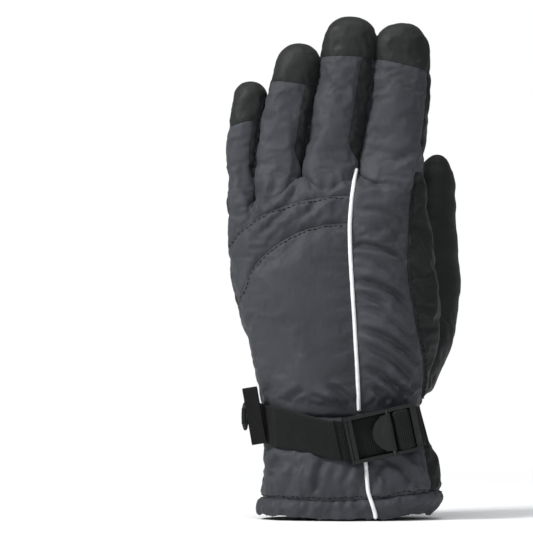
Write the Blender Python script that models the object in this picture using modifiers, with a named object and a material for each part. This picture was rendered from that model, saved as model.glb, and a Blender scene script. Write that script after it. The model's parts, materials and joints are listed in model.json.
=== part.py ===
"""Left ski glove, worn upright: back of the hand towards -Y, palm towards +Y, thumb towards +X.

Metres, +Z up. The hem rests at z = 0, and the origin is under the middle of the glove's bounding box.
Each layer of a finger, the thumb or the hand is an open surface given a thickness, one inside the other:
outer shell, then wadding and lining. A finger is two sleeves, hinged at the knuckle and at its middle,
and the sleeves meet in V-shaped notches on the palm side, so that they can close towards the palm.
"""

import math

import bmesh
import bpy
from mathutils import Matrix, Vector

MM = 0.001
GLOVE = "ski_glove"

# Where the cuff's own origin lies. Every position below is measured from it.
CUFF_ORIGIN = Vector((2.3, -8.03, 0)) * MM

# Layers, measured inwards from the outer surface.
SHELL_THICKNESS = 0.8 * MM
WADDING_DEPTH = 1.9 * MM
WADDING_THICKNESS = 3.2 * MM
LINING_DEPTH = 5.8 * MM
LINING_THICKNESS = 1.2 * MM
LINER_DEPTH = 1.5 * MM
LINER_THICKNESS = 2.8 * MM
SHELL_LAYER = (0.0, SHELL_THICKNESS)
LINER_LAYER = (LINER_DEPTH, LINER_THICKNESS)
SEAM_GAP = 0.4 * MM

# The hand and cuff: height, little-finger edge, thumb edge, half depth, all in millimetres.
HAND_STATIONS = (
    (0, -49, 52, 28.5),
    (14, -48, 54, 28),
    (26, -46.5, 54, 26.8),
    (38, -46, 52, 24.4),
    (52, -46.5, 46.5, 22.8),
    (66, -48, 45.5, 23.6),
    (80, -50, 49, 26),
    (98, -55, 50, 27.2),
    (126, -64.5, 50, 26.4),
    (152, -69, 49, 23.5),
    (175, -69.5, 47, 19.8),
    (190, -69.5, 45.5, 17.4),
    (206, -69, 45, 16),
)
HAND_ROUNDNESS = 2.5
FINGER_ROUNDNESS = 2.3
TIP_ROUNDNESS = 2.3
HAND_COLUMNS = 32
FINGER_COLUMNS = 16

HEM_HEIGHT = 13.5 * MM
HEM_THICKNESS = 6.0 * MM
WRIST_HEIGHT = 57 * MM
ELASTIC_LOW = 51 * MM
ELASTIC_HIGH = 63 * MM
ELASTIC_RECESS = 1.7 * MM

# Angles round the hand's section, in degrees: 0 at the thumb, 90 at the palm, 180 at the little finger.
PIPING_ANGLE = 281
SIDE_PANEL_START = 322
SIDE_PANEL_END = 372
ELASTIC_ANGLES = (14, 166)
PATCH_ANGLES = (104, 168)
PATCH_HEIGHTS = (118, 158)

# Curved seams on the back, as quarter ellipses: start height, rise, end across, width (millimetres).
LOWER_BACK_SEAM = (112, 53, 0, 60)
UPPER_BACK_SEAM = (146, 34.5, 6, 71)

KNUCKLE_RANGE = 60
MIDDLE_RANGE = 70
THUMB_RANGE = 40
THUMB_TIP_RANGE = 60
NOTCH_SLACK = 2.0

# Fingers: root (across, depth, height), lean towards the thumb and curl towards the palm in degrees,
# half widths at the root, middle and tip, half depth at the root, lower and whole length, and the angle
# round the section at which the grey back ends on the thumb's side.
FINGERS = {
    "little": dict(
        root=(-60.6, 3.5, 179.5), lean=7.0, curl=3,
        widths=(9.6, 9.6, 9.4), depth=11.4, lower=30, length=65.8, back_end=312,
    ),
    "ring": dict(
        root=(-36.2, 1.0, 191), lean=8.6, curl=2,
        widths=(12.8, 12.1, 12.0), depth=12.6, lower=34, length=75.6, back_end=306,
    ),
    "middle": dict(
        root=(-7.4, 0.0, 195.5), lean=8.7, curl=2,
        widths=(14.4, 14.6, 14.4), depth=13.2, lower=39, length=86.2, back_end=302,
    ),
    "index": dict(
        root=(26.8, 1.0, 195.5), lean=5.6, curl=2,
        widths=(17.2, 15.3, 14.6), depth=13.2, lower=38, length=82.2, back_end=346,
    ),
}
MIDDLE_CURL = 5
CAP_LENGTH = 21.5 * MM
CAP_PALM_LENGTH = 7.0 * MM

# The thumb's centre line: inside the hand, base joint, tip joint and tip (millimetres).
THUMB_INSIDE = Vector((25, 3, 68)) * MM
THUMB_BASE = Vector((48.9, 34, 128)) * MM
THUMB_MIDDLE = Vector((48.9, 36.5, 166)) * MM
THUMB_TIP = Vector((48.9, 38.6, 205.5)) * MM
THUMB_BENDS_TOWARDS = Vector((-0.6, 0.8, 0))
THUMB_RADII = (20.0, 16.0, 14.8, 13.0)

WEBBING_WIDTH = 21.6 * MM
WEBBING_THICKNESS = 1.1 * MM
STRAP_HEIGHT = 53.5 * MM

# The buckle, in its own frame: X along the strap, Z up, and outwards is -Y.
BUCKLE_CENTRE = Vector((21.0, -27.6, 48.5)) * MM
BUCKLE_YAW = 9
BUCKLE_ROLL = 12
BUCKLE_LENGTH = 41 * MM
BUCKLE_HEIGHT = 26.2 * MM
BUCKLE_RAIL = 1.9 * MM
PIN_PLACE = (4.0, -2.9)
PIN_RADIUS = 1.0 * MM
PIN_CLEARANCE = 0.3 * MM

RING_CENTRE = Vector((-54.5, 5.0, 57.0)) * MM
RING_HALF_HEIGHT = 7.0 * MM
RING_WIRE = 1.2 * MM
RING_REST_TURN = -78

COLOURS = {
    "grey_shell": ((0.075, 0.077, 0.086), 0.62, 0.0),
    "black_shell": ((0.024, 0.026, 0.026), 0.6, 0.0),
    "fingertip": ((0.03, 0.032, 0.031), 0.5, 0.0),
    "piping": ((0.62, 0.62, 0.63), 0.45, 0.0),
    "wadding": ((0.75, 0.74, 0.7), 0.95, 0.0),
    "lining": ((0.02, 0.02, 0.021), 0.95, 0.0),
    "elastic": ((0.6, 0.6, 0.58), 0.8, 0.0),
    "webbing": ((0.018, 0.02, 0.019), 0.7, 0.0),
    "plastic": ((0.035, 0.037, 0.037), 0.4, 0.0),
    "label": ((0.01, 0.011, 0.011), 0.6, 0.0),
    "steel": ((0.35, 0.35, 0.36), 0.35, 1.0),
}


# ---------------------------------------------------------------- scene helpers


def clear_scene():
    for obj in list(bpy.data.objects):
        bpy.data.objects.remove(obj)


def make_collection(name):
    found = bpy.data.collections.new(name)
    bpy.context.scene.collection.children.link(found)
    return found


def material(name):
    if name in bpy.data.materials:
        return bpy.data.materials[name]
    colour, roughness, metallic = COLOURS[name]
    made = bpy.data.materials.new(name)
    made.use_nodes = True
    shader = made.node_tree.nodes["Principled BSDF"]
    shader.inputs["Base Color"].default_value = (*colour, 1.0)
    shader.inputs["Roughness"].default_value = roughness
    shader.inputs["Metallic"].default_value = metallic
    made.diffuse_color = (*colour, 1.0)
    return made


def add_object(name, mesh, finish, parent=None, collection=None):
    obj = bpy.data.objects.new(name, mesh)
    (collection or bpy.data.collections[GLOVE]).objects.link(obj)
    if finish:
        mesh.materials.append(material(finish))
    mesh.shade_smooth()
    mesh.set_sharp_from_angle(angle=math.radians(35))
    obj.parent = parent
    return obj


def make_guide(name, matrix, parent=None):
    """An empty on a joint's axis: its X is the axis, reversed, and it closes towards its Y."""
    empty = bpy.data.objects.new(name, None)
    bpy.data.collections[GLOVE].objects.link(empty)
    empty.empty_display_size = 10 * MM
    empty.parent = parent
    empty.matrix_local = matrix
    return empty


def thicken(obj, thickness, offset=-1.0):
    solid = obj.modifiers.new("Thickness", "SOLIDIFY")
    solid.thickness = thickness
    solid.offset = offset
    solid.use_even_offset = True
    return obj


def cut(obj, cutter):
    boolean = obj.modifiers.new("Cut", "BOOLEAN")
    boolean.operation = "DIFFERENCE"
    boolean.object = cutter


def as_cutter(obj):
    obj.hide_render = True
    obj.display_type = "WIRE"
    for collection in list(obj.users_collection):
        collection.objects.unlink(obj)
    bpy.data.collections["cutters"].objects.link(obj)
    return obj


# ---------------------------------------------------------------- surfaces


def level(height):
    """A panel's edge that stays at one height."""
    return lambda angle: height


def smooth_step(t):
    t = min(1.0, max(0.0, t))
    return t * t * (3 - 2 * t)


def superellipse(angle, half_width, half_depth, roundness):
    """A point of a rounded section, at this angle in degrees."""
    c = math.cos(math.radians(angle))
    s = math.sin(math.radians(angle))
    x = math.copysign(abs(c) ** (2 / roundness), c) * half_width
    y = math.copysign(abs(s) ** (2 / roundness), s) * half_depth
    return x, y


def station_at(height):
    """(little-finger edge, thumb edge, half depth) of the hand at this height, in metres."""
    rows = [tuple(v * MM for v in row) for row in HAND_STATIONS]
    if height <= rows[0][0]:
        return rows[0][1:]
    for low, high in zip(rows, rows[1:]):
        if height <= high[0]:
            t = (height - low[0]) / (high[0] - low[0])
            return tuple(a + (b - a) * t for a, b in zip(low[1:], high[1:]))
    return rows[-1][1:]


def hand_point(angle, height, depth=0.0):
    """A point of the hand's surface, or of the layer that lies this deep under it."""
    left, right, half_depth = station_at(height)
    x, y = superellipse(angle, (right - left) / 2 - depth, half_depth - depth, HAND_ROUNDNESS)
    return Vector(((left + right) / 2 + x, y, height))


def grid_mesh(name, rows, closed, pole=None):
    """An open surface through rows of points, each row running anticlockwise seen from the top."""
    bm = bmesh.new()
    verts = [[bm.verts.new(p) for p in row] for row in rows]
    columns = len(rows[0])
    spans = range(columns if closed else columns - 1)
    for low, high in zip(verts, verts[1:]):
        for i in spans:
            j = (i + 1) % columns
            bm.faces.new((low[i], low[j], high[j], high[i]))
    if pole is not None:
        top = bm.verts.new(pole)
        for i in spans:
            bm.faces.new((verts[-1][i], verts[-1][(i + 1) % columns], top))
    mesh = bpy.data.meshes.new(name)
    bm.to_mesh(mesh)
    bm.free()
    return mesh


def angles_between(start, end, columns):
    """The angles from start to end that the whole round has there, with start and end themselves."""
    step = 360 / columns
    near = step / 4
    first = math.ceil((start + near) / step)
    last = math.floor((end - near) / step)
    return [start] + [step * i for i in range(first, last + 1)] + [end]


def full_round(columns):
    return [360 * i / columns for i in range(columns)]


def notch(y, degrees):
    """How far a rim steps back at this depth towards the palm, so that two sleeves can close."""
    return max(0.0, y) * math.tan(math.radians(degrees / 2 + NOTCH_SLACK))


# ---------------------------------------------------------------- the hand


def back_seam(seam, x):
    start, rise, end, width = (v * MM for v in seam)
    across = min(1.0, max(0.0, (end - x) / width))
    return start + rise * math.sqrt(1 - across * across)


def hand_rim(angle, depth):
    """Height of the hand's upper edge: under each finger's hinge, and notched on the palm side."""
    point = hand_point(angle, 192 * MM, depth)
    lowest = 1.0
    for finger in FINGERS.values():
        across, _, height = (v * MM for v in finger["root"])
        half = finger["widths"][0] * MM + 1.0 * MM
        past = max(0.0, abs(point.x - across) - half)
        inside = max(-half, min(half, point.x - across))
        allowed = height - inside * math.tan(math.radians(finger["lean"])) + 3 * past
        lowest = min(lowest, allowed)
    root_depth = 1.5 * MM
    return lowest - SEAM_GAP - notch(point.y - root_depth, KNUCKLE_RANGE)


def hand_panel(name, finish, angles, low, high, rows, depth=0.0, thickness=SHELL_THICKNESS):
    """A panel of the hand between two edges, each a function of the angle that gives a height."""
    grid = []
    for row in range(rows + 1):
        share = row / rows
        grid.append([hand_point(a, low(a) * (1 - share) + high(a) * share, depth) for a in angles])
    closed = abs(angles[-1] - angles[0]) + 360 / len(angles) > 359
    return thicken(add_object(name, grid_mesh(name, grid, closed), finish), thickness)


def hand_layer(name, finish, depth, thickness, recess=0.0):
    """A whole layer of the hand, from the hem to the knuckles, with a recess for the elastic."""
    angles = full_round(HAND_COLUMNS)
    heights = [HEM_HEIGHT + SEAM_GAP]
    heights += [v * MM for v in (26, 38, 49, 65, 80, 98, 126, 152, 172)]
    grid = []
    for height in heights:
        deeper = depth + (recess if ELASTIC_LOW - 3 * MM < height < ELASTIC_HIGH + 3 * MM else 0.0)
        row = []
        for angle in angles:
            row.append(hand_point(angle, min(height, hand_rim(angle, depth) - 2 * MM), deeper))
        grid.append(row)
    grid.append([hand_point(a, hand_rim(a, depth), depth) for a in angles])
    return thicken(add_object(name, grid_mesh(name, grid, True), finish), thickness)


def make_hand_shell():
    wrist = level(WRIST_HEIGHT + SEAM_GAP)

    def rim(angle):
        return hand_rim(angle, 0.0)

    def seam(which, side):
        return lambda angle: back_seam(which, hand_point(angle, 165 * MM).x) + side * SEAM_GAP / 2

    left = angles_between(180.4, PIPING_ANGLE - 1.2, HAND_COLUMNS)
    hand_panel("back_panel", "grey_shell", left, wrist, seam(LOWER_BACK_SEAM, -1), 6)
    hand_panel("back_band", "grey_shell", left, seam(LOWER_BACK_SEAM, 1), seam(UPPER_BACK_SEAM, -1), 5)
    hand_panel("knuckle_panel", "grey_shell", left, seam(UPPER_BACK_SEAM, 1), rim, 2)
    right = angles_between(PIPING_ANGLE + 1.2, SIDE_PANEL_START - 0.4, HAND_COLUMNS)
    hand_panel("index_back_panel", "grey_shell", right, wrist, rim, 8)
    side = angles_between(SIDE_PANEL_START + 0.4, SIDE_PANEL_END - 0.8, HAND_COLUMNS)
    palm = angles_between(SIDE_PANEL_END - 359.2, 179.6, HAND_COLUMNS)
    return [
        hand_panel("thumb_side_panel", "black_shell", side, wrist, rim, 8),
        hand_panel("palm_panel", "black_shell", palm, wrist, rim, 8),
    ]


def make_palm_patch():
    low, high = (level(height * MM) for height in PATCH_HEIGHTS)
    angles = angles_between(*PATCH_ANGLES, HAND_COLUMNS)
    hand_panel("palm_patch", "black_shell", angles, low, high, 4, depth=-1.6 * MM, thickness=0.9 * MM)


def make_cuff():
    low = level(HEM_HEIGHT + SEAM_GAP)
    high = level(WRIST_HEIGHT)
    back = angles_between(180.4, 359.6, HAND_COLUMNS)
    palm = angles_between(0.4, 179.6, HAND_COLUMNS)
    hand_panel("cuff_back", "grey_shell", back, low, high, 4)
    hand_panel("cuff_palm", "black_shell", palm, low, high, 4)
    low = level(ELASTIC_LOW)
    high = level(ELASTIC_HIGH)
    angles = angles_between(*ELASTIC_ANGLES, HAND_COLUMNS)
    hand_panel("wrist_elastic", "elastic", angles, low, high, 1, depth=1.5 * MM, thickness=0.9 * MM)


def make_hem():
    """The bound edge of the mouth: a ring with a rounded section, flat where it rests."""
    rows = []
    half_thickness = HEM_THICKNESS / 2
    outline = ((0.35, 0.0), (-0.35, 0.0), (-0.85, 0.12), (-1.0, 0.4), (-0.9, 0.8), (-0.4, 1.0))
    outline += ((0.4, 1.0), (0.9, 0.8), (1.0, 0.4), (0.85, 0.12))
    for angle in full_round(HAND_COLUMNS):
        row = []
        for out, up in outline:
            depth = half_thickness * (1 - out) - 0.8 * MM
            point = hand_point(angle, up * HEM_HEIGHT, depth)
            row.append(point)
        rows.append(row)
    bm = bmesh.new()
    verts = [[bm.verts.new(p) for p in row] for row in rows]
    steps = len(outline)
    for i, row in enumerate(verts):
        after = verts[(i + 1) % len(verts)]
        for k in range(steps):
            n = (k + 1) % steps
            bm.faces.new((row[k], row[n], after[n], after[k]))
    bmesh.ops.recalc_face_normals(bm, faces=bm.faces)
    mesh = bpy.data.meshes.new("cuff_hem")
    bm.to_mesh(mesh)
    bm.free()
    return add_object("cuff_hem", mesh, "grey_shell")


def make_piping():
    """Two lengths of corded piping, on the seam of the back and on that of the cuff."""
    for name, low, high in (("back_piping", 68 * MM, 196 * MM), ("cuff_piping", 14.5 * MM, 31 * MM)):
        curve = bpy.data.curves.new(name, "CURVE")
        curve.dimensions = "3D"
        curve.bevel_depth = 0.85 * MM
        curve.bevel_resolution = 1
        curve.use_fill_caps = True
        spline = curve.splines.new("POLY")
        count = 9
        spline.points.add(count - 1)
        for i, point in enumerate(spline.points):
            height = low + (high - low) * i / (count - 1)
            point.co = (*hand_point(PIPING_ANGLE, height, -1.5 * MM), 1.0)
        obj = bpy.data.objects.new(name, curve)
        bpy.data.collections[GLOVE].objects.link(obj)
        curve.materials.append(material("piping"))


# ---------------------------------------------------------------- fingers and thumb


def tube_size(height, sizes, tip, inset):
    """(half width, half depth) of a sleeve at this height, where sizes lists (height, width, depth)."""
    for low, high in zip(sizes, sizes[1:]):
        if height <= high[0] or high is sizes[-1]:
            t = min(1.0, max(0.0, (height - low[0]) / (high[0] - low[0])))
            width, depth = (a + (b - a) * t for a, b in zip(low[1:], high[1:]))
            break
    width -= inset
    depth -= inset
    if tip is None:
        return width, depth
    dome = sizes[-1][1] * 1.05
    start = tip - dome
    if height > start:
        rise = min(1.0, (height - start) / (dome - inset))
        shrink = (1 - rise**TIP_ROUNDNESS) ** (1 / TIP_ROUNDNESS)
        width *= shrink
        depth *= shrink
    return width, depth


def tube_panel(name, finish, parent, angles, edges, rows, sizes, layer, tip=None):
    """A panel of a sleeve between two edges. With no upper edge it closes over the fingertip."""
    inset, thickness = layer
    low, high = edges
    closed_tip = high is None
    dome_top = tip - inset if tip else None
    grid = []
    for row in range(rows + 1):
        points = []
        for angle in angles:
            if closed_tip:
                # Rows bunch up towards the tip, where the dome turns fastest.
                share = math.sin(math.radians(82) * row / rows)
                height = low(angle) + (dome_top - low(angle)) * share
            else:
                height = low(angle) + (high(angle) - low(angle)) * row / rows
            width, depth = tube_size(height, sizes, tip, inset)
            x, y = superellipse(angle, width, depth, FINGER_ROUNDNESS)
            points.append(Vector((x, y, height)))
        grid.append(points)
    closed = len(angles) == FINGER_COLUMNS
    pole = (0, 0, dome_top) if closed_tip else None
    obj = add_object(name, grid_mesh(name, grid, closed, pole), finish, parent)
    return thicken(obj, thickness)


def section_y(angle, half_depth):
    return superellipse(angle, 1.0, half_depth, FINGER_ROUNDNESS)[1]


def frame_matrix(origin, direction, towards):
    """A frame at origin with Z along direction and Y as near to towards as that allows."""
    z = direction.normalized()
    y = (towards - z * towards.dot(z)).normalized()
    x = y.cross(z)
    return Matrix.Translation(origin) @ Matrix((x, y, z)).transposed().to_4x4()


def make_finger(name, finger):
    root = Vector(finger["root"]) * MM
    lean = math.radians(finger["lean"])
    curl = math.radians(finger["curl"])
    direction = Vector((math.sin(lean), math.sin(curl), math.cos(lean)))
    knuckle = make_guide(f"{name}_knuckle_axis", frame_matrix(root, direction, Vector((0, 1, 0))))
    lower_length = finger["lower"] * MM
    tilt = Matrix.Rotation(math.radians(-MIDDLE_CURL), 4, "X")
    middle = make_guide(f"{name}_middle_axis", Matrix.Translation((0, 0, lower_length)) @ tilt, knuckle)
    root_width, middle_width, tip_width = (w * MM for w in finger["widths"])
    depth = finger["depth"] * MM
    lower_sizes = ((0.0, root_width, depth), (lower_length, middle_width, depth * 0.97))
    length = finger["length"] * MM - lower_length
    upper_sizes = ((0.0, middle_width, depth * 0.97), (length, tip_width, depth * 0.9))

    def lower_start(angle):
        return SEAM_GAP + notch(section_y(angle, depth), KNUCKLE_RANGE)

    def lower_end(angle):
        return lower_length - SEAM_GAP - notch(section_y(angle, depth), MIDDLE_RANGE)

    def upper_start(angle):
        return SEAM_GAP + notch(section_y(angle, depth), MIDDLE_RANGE)

    def cap_edge(angle):
        """Straight between the section's columns, so that the panels that end there share it."""
        step = 360 / FINGER_COLUMNS
        column = math.floor(angle / step)
        share = angle / step - column
        ends = []
        for corner in (column * step, (column + 1) * step):
            towards_palm = max(0.0, math.sin(math.radians(corner))) ** 0.5
            ends.append(length - CAP_LENGTH + (CAP_LENGTH - CAP_PALM_LENGTH) * towards_palm)
        return ends[0] * (1 - share) + ends[1] * share

    def shell_end(angle):
        return cap_edge(angle) - 2 * SEAM_GAP

    back = angles_between(181.5, finger["back_end"] - 1.5, FINGER_COLUMNS)
    palm = angles_between(finger["back_end"] - 358.5, 178.5, FINGER_COLUMNS)
    whole = full_round(FINGER_COLUMNS)
    lower = (lower_start, lower_end)
    upper = (upper_start, shell_end)
    cap = (cap_edge, None)
    bag = (upper_start, None)
    tube_panel(f"{name}_lower_back", "grey_shell", knuckle, back, lower, 2, lower_sizes, SHELL_LAYER)
    tube_panel(f"{name}_lower_palm", "black_shell", knuckle, palm, lower, 2, lower_sizes, SHELL_LAYER)
    tube_panel(f"{name}_lower_liner", "wadding", knuckle, whole, lower, 2, lower_sizes, LINER_LAYER)
    tube_panel(f"{name}_upper_back", "grey_shell", middle, back, upper, 2, upper_sizes, SHELL_LAYER, length)
    tube_panel(f"{name}_upper_palm", "black_shell", middle, palm, upper, 5, upper_sizes, SHELL_LAYER, length)
    tube_panel(f"{name}_tip_cap", "fingertip", middle, whole, cap, 5, upper_sizes, SHELL_LAYER, length)
    tube_panel(f"{name}_upper_liner", "wadding", middle, whole, bag, 6, upper_sizes, LINER_LAYER, length)


def gusset_centre(height, length, shift):
    """The gusset's bent centre line, in the frame of the thumb's base joint."""
    share = min(1.0, max(0.0, -height / length))
    return shift * share**1.5


def gusset_rows(inset, length, shift, top, bottom):
    base_radius, joint_radius = THUMB_RADII[0] * MM - inset, THUMB_RADII[1] * MM - inset
    grid = []
    rows = 6
    for row in range(rows + 1):
        points = []
        for angle in full_round(FINGER_COLUMNS):
            height = bottom + (top(angle) - bottom) * row / rows
            share = min(1.0, max(0.0, -height / length))
            radius = joint_radius + (base_radius - joint_radius) * smooth_step(share)
            x, y = superellipse(angle, radius, radius, 2.0)
            centre = gusset_centre(height, length, shift)
            points.append(Vector((centre.x + x, centre.y + y, height)))
        grid.append(points)
    return grid


def make_hand_core():
    """The space inside the lining, as a solid, which trims what reaches in."""
    angles = full_round(HAND_COLUMNS)
    depth = LINING_DEPTH + LINING_THICKNESS
    grid = []
    for height in (20, 38, 52, 66, 80, 98, 126, 152, 175):
        grid.append([hand_point(a, height * MM, depth) for a in angles])
    mesh = grid_mesh("hand_core", grid, True)
    close_ends(mesh)
    return as_cutter(add_object("hand_core", mesh, None))


def close_ends(mesh):
    bm = bmesh.new()
    bm.from_mesh(mesh)
    bmesh.ops.holes_fill(bm, edges=[e for e in bm.edges if e.is_boundary], sides=0)
    bmesh.ops.recalc_face_normals(bm, faces=bm.faces)
    bm.to_mesh(mesh)
    bm.free()


def make_thumb(hand_parts):
    """The thumb's gusset on the hand, its lower and upper sleeves, and the hole that it enters."""
    lower_axis = THUMB_MIDDLE - THUMB_BASE
    upper_axis = THUMB_TIP - THUMB_MIDDLE
    base_matrix = frame_matrix(THUMB_BASE, lower_axis, THUMB_BENDS_TOWARDS)
    middle_matrix = frame_matrix(THUMB_MIDDLE, upper_axis, THUMB_BENDS_TOWARDS)
    base = make_guide("thumb_base_axis", base_matrix)
    middle = make_guide("thumb_middle_axis", base_matrix.inverted() @ middle_matrix, base)
    root = make_guide("thumb_root", base_matrix)

    inside = base_matrix.inverted() @ THUMB_INSIDE
    length = -inside.z
    shift = Vector((inside.x, inside.y, 0))
    joint_radius = THUMB_RADII[1] * MM

    def gusset_top(angle):
        return -SEAM_GAP - notch(superellipse(angle, 1, joint_radius, 2.0)[1], THUMB_RANGE)

    core = make_hand_core()
    for name, finish, layer in (
        ("thumb_gusset", "black_shell", SHELL_LAYER),
        ("thumb_gusset_liner", "wadding", LINER_LAYER),
    ):
        inset, thickness = layer
        mesh = grid_mesh(name, gusset_rows(inset, length, shift, gusset_top, -length), True)
        cut(thicken(add_object(name, mesh, finish, root), thickness), core)
    around = -1.0 * MM
    rows = gusset_rows(around, length, shift, level(4 * MM), around - length)
    hole_mesh = grid_mesh("thumb_hole", rows, True)
    close_ends(hole_mesh)
    hole = as_cutter(add_object("thumb_hole", hole_mesh, None, root))
    for obj in hand_parts:
        cut(obj, hole)

    lower_length = lower_axis.length
    upper_length = upper_axis.length
    radii = [r * MM for r in THUMB_RADII]
    lower_sizes = ((0.0, radii[1], radii[1]), (lower_length, radii[2], radii[2]))
    upper_sizes = ((0.0, radii[2], radii[2]), (upper_length, radii[3], radii[3] * 0.92))

    def lower_start(angle):
        return SEAM_GAP + notch(section_y(angle, radii[1]), THUMB_RANGE)

    def lower_end(angle):
        return lower_length - SEAM_GAP - notch(section_y(angle, radii[1]), THUMB_TIP_RANGE)

    def upper_start(angle):
        return SEAM_GAP + notch(section_y(angle, radii[1]), THUMB_TIP_RANGE)

    whole = full_round(FINGER_COLUMNS)
    lower = (lower_start, lower_end)
    bag = (upper_start, None)
    for part, finish, layer in (("shell", "black_shell", SHELL_LAYER), ("liner", "wadding", LINER_LAYER)):
        tube_panel(f"thumb_lower_{part}", finish, base, whole, lower, 2, lower_sizes, layer)
        tube_panel(f"thumb_upper_{part}", finish, middle, whole, bag, 6, upper_sizes, layer, upper_length)


# ---------------------------------------------------------------- strap, buckle, ring and label


def buckle_matrix():
    yaw = Matrix.Rotation(math.radians(BUCKLE_YAW), 4, "Z")
    roll = Matrix.Rotation(math.radians(-BUCKLE_ROLL), 4, "Y")
    return Matrix.Translation(BUCKLE_CENTRE) @ yaw @ roll


def ribbon(name, finish, centres, ups, width, thickness, parent=None):
    """A flat strap through these centres, with its width along ups."""
    low = [c - u * (width / 2) for c, u in zip(centres, ups)]
    high = [c + u * (width / 2) for c, u in zip(centres, ups)]
    return ribbon_between(name, finish, low, high, thickness, parent)


def ribbon_between(name, finish, low, high, thickness, parent=None):
    """A flat strap between two edges."""
    obj = add_object(name, grid_mesh(name, [low, high], False), finish, parent)
    return thicken(obj, thickness, offset=0.0)


def arc_points(centre, radius, start, end, steps):
    """Points of an arc in the buckle's XY plane, in millimetres."""
    found = []
    for i in range(steps + 1):
        angle = math.radians(start + (end - start) * i / steps)
        found.append((centre[0] + radius * math.cos(angle), centre[1] + radius * math.sin(angle)))
    return found


def in_buckle(places):
    """World points and up directions of places in the buckle's XY plane, given in millimetres."""
    matrix = buckle_matrix()
    up = (matrix.to_3x3() @ Vector((0, 0, 1))).normalized()
    return [matrix @ (Vector((x, y, 0)) * MM) for x, y in places], [up] * len(places)


def make_wrist_strap():
    """Webbing from the little-finger seam, through the buckle's tunnel and back under its plate."""
    low, high = [], []
    stand_off = -(WEBBING_THICKNESS / 2 + 1.0 * MM)
    for angle in (190, 197, 205, 215, 225, 236):
        share = (angle - 190) / 46
        height = STRAP_HEIGHT - 2.5 * MM * smooth_step(share)
        low.append(hand_point(angle, height - WEBBING_WIDTH / 2, stand_off))
        high.append(hand_point(angle, height + WEBBING_WIDTH / 2, stand_off))
    tunnel = [(-24.0, 0.2), (-10, 0.2), (0, 0.2), (2.4, 0.2)]
    turn = arc_points((3.1, 1.675), 1.475, -90, 90, 6)
    back = [(-2, 3.15), (-6, 3.15)]
    points, ups = in_buckle(tunnel + turn + back)
    low += [p - u * (WEBBING_WIDTH / 2) for p, u in zip(points, ups)]
    high += [p + u * (WEBBING_WIDTH / 2) for p, u in zip(points, ups)]
    ribbon_between("wrist_strap", "webbing", low, high, WEBBING_THICKNESS)


def make_strap_anchor():
    """A webbing loop round the buckle's middle bar, sewn into the thumb-side seam."""
    path = [(24.5, 1.15), (21, 1.15)]
    path += arc_points((9.6, -1.55), 2.7, 90, 270, 8)
    path += arc_points((14.0, -2.35), 1.9, -90, 0, 3)
    path += [(15.8, -1.4), (16.6, -0.45), (21, -0.35), (24.5, -0.35)]
    points, ups = in_buckle(path)
    half = WEBBING_WIDTH / 2 - 0.4 * MM
    low = [p - u * half for p, u in zip(points, ups)]
    high = [p + u * half for p, u in zip(points, ups)]
    for edge, side in ((low, -1), (high, 1)):
        edge.insert(0, hand_point(350, STRAP_HEIGHT - 1.5 * MM + side * half, -3.6 * MM))
        edge.append(hand_point(350, STRAP_HEIGHT - 1.5 * MM + side * half, -1.9 * MM))
    ribbon_between("strap_anchor", "webbing", low, high, WEBBING_THICKNESS)


def box_mesh(bm, low, high):
    """A box between two corners, in millimetres."""
    size = [(b - a) * MM for a, b in zip(low, high)]
    centre = [(a + b) / 2 * MM for a, b in zip(low, high)]
    matrix = Matrix.Translation(centre) @ Matrix.Diagonal((*size, 1.0))
    bmesh.ops.create_cube(bm, size=1.0, matrix=matrix)


def box_object(name, low, high, finish, parent):
    bm = bmesh.new()
    box_mesh(bm, low, high)
    mesh = bpy.data.meshes.new(name)
    bm.to_mesh(mesh)
    bm.free()
    return add_object(name, mesh, finish, parent)


def cylinder_object(name, finish, parent, radius, length, place, segments=16):
    """A cylinder along Z."""
    bm = bmesh.new()
    bmesh.ops.create_cone(
        bm,
        cap_ends=True,
        segments=segments,
        radius1=radius,
        radius2=radius,
        depth=length,
        matrix=Matrix.Translation(place),
    )
    mesh = bpy.data.meshes.new(name)
    bm.to_mesh(mesh)
    bm.free()
    return add_object(name, mesh, finish, parent)


def join_with(obj, others):
    for other in others:
        boolean = obj.modifiers.new("Join", "BOOLEAN")
        boolean.operation = "UNION"
        boolean.object = as_cutter(other)


def make_buckle():
    mount = make_guide("buckle_mount", buckle_matrix())
    half = BUCKLE_HEIGHT / 2 / MM
    rail = BUCKLE_RAIL / MM
    end = BUCKLE_LENGTH / 2 / MM
    inner = half - rail + 0.3
    frame = box_object("buckle_frame", (-end, -4.0, half - rail), (end, 2.3, half), "plastic", mount)
    others = [
        box_object("lower_rail", (-end, -4.0, -half), (end, 2.3, rail - half), None, mount),
        box_object("left_bar", (-end, -3.6, -inner), (-16.5, -0.75, inner), None, mount),
        box_object("base_plate", (-end, 1.05, -inner), (3.0, 2.3, inner), None, mount),
        box_object("middle_bar", (9.6, -3.3, -inner), (14.0, -1.5, inner), None, mount),
        box_object("right_bar", (17.0, -3.6, -inner), (end, -1.3, inner), None, mount),
    ]
    join_with(frame, others)
    place = Vector((PIN_PLACE[0], PIN_PLACE[1], 0)) * MM
    bore = PIN_RADIUS + PIN_CLEARANCE
    cut(frame, as_cutter(cylinder_object("pin_holes", None, mount, bore, BUCKLE_HEIGHT * 1.2, place)))
    rounding = frame.modifiers.new("Rounding", "BEVEL")
    rounding.width = 0.35 * MM
    rounding.segments = 1
    rounding.limit_method = "ANGLE"
    rounding.angle_limit = math.radians(60)
    cylinder_object("cam_pin", "steel", mount, PIN_RADIUS, BUCKLE_HEIGHT - 0.6 * MM, place)


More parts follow.
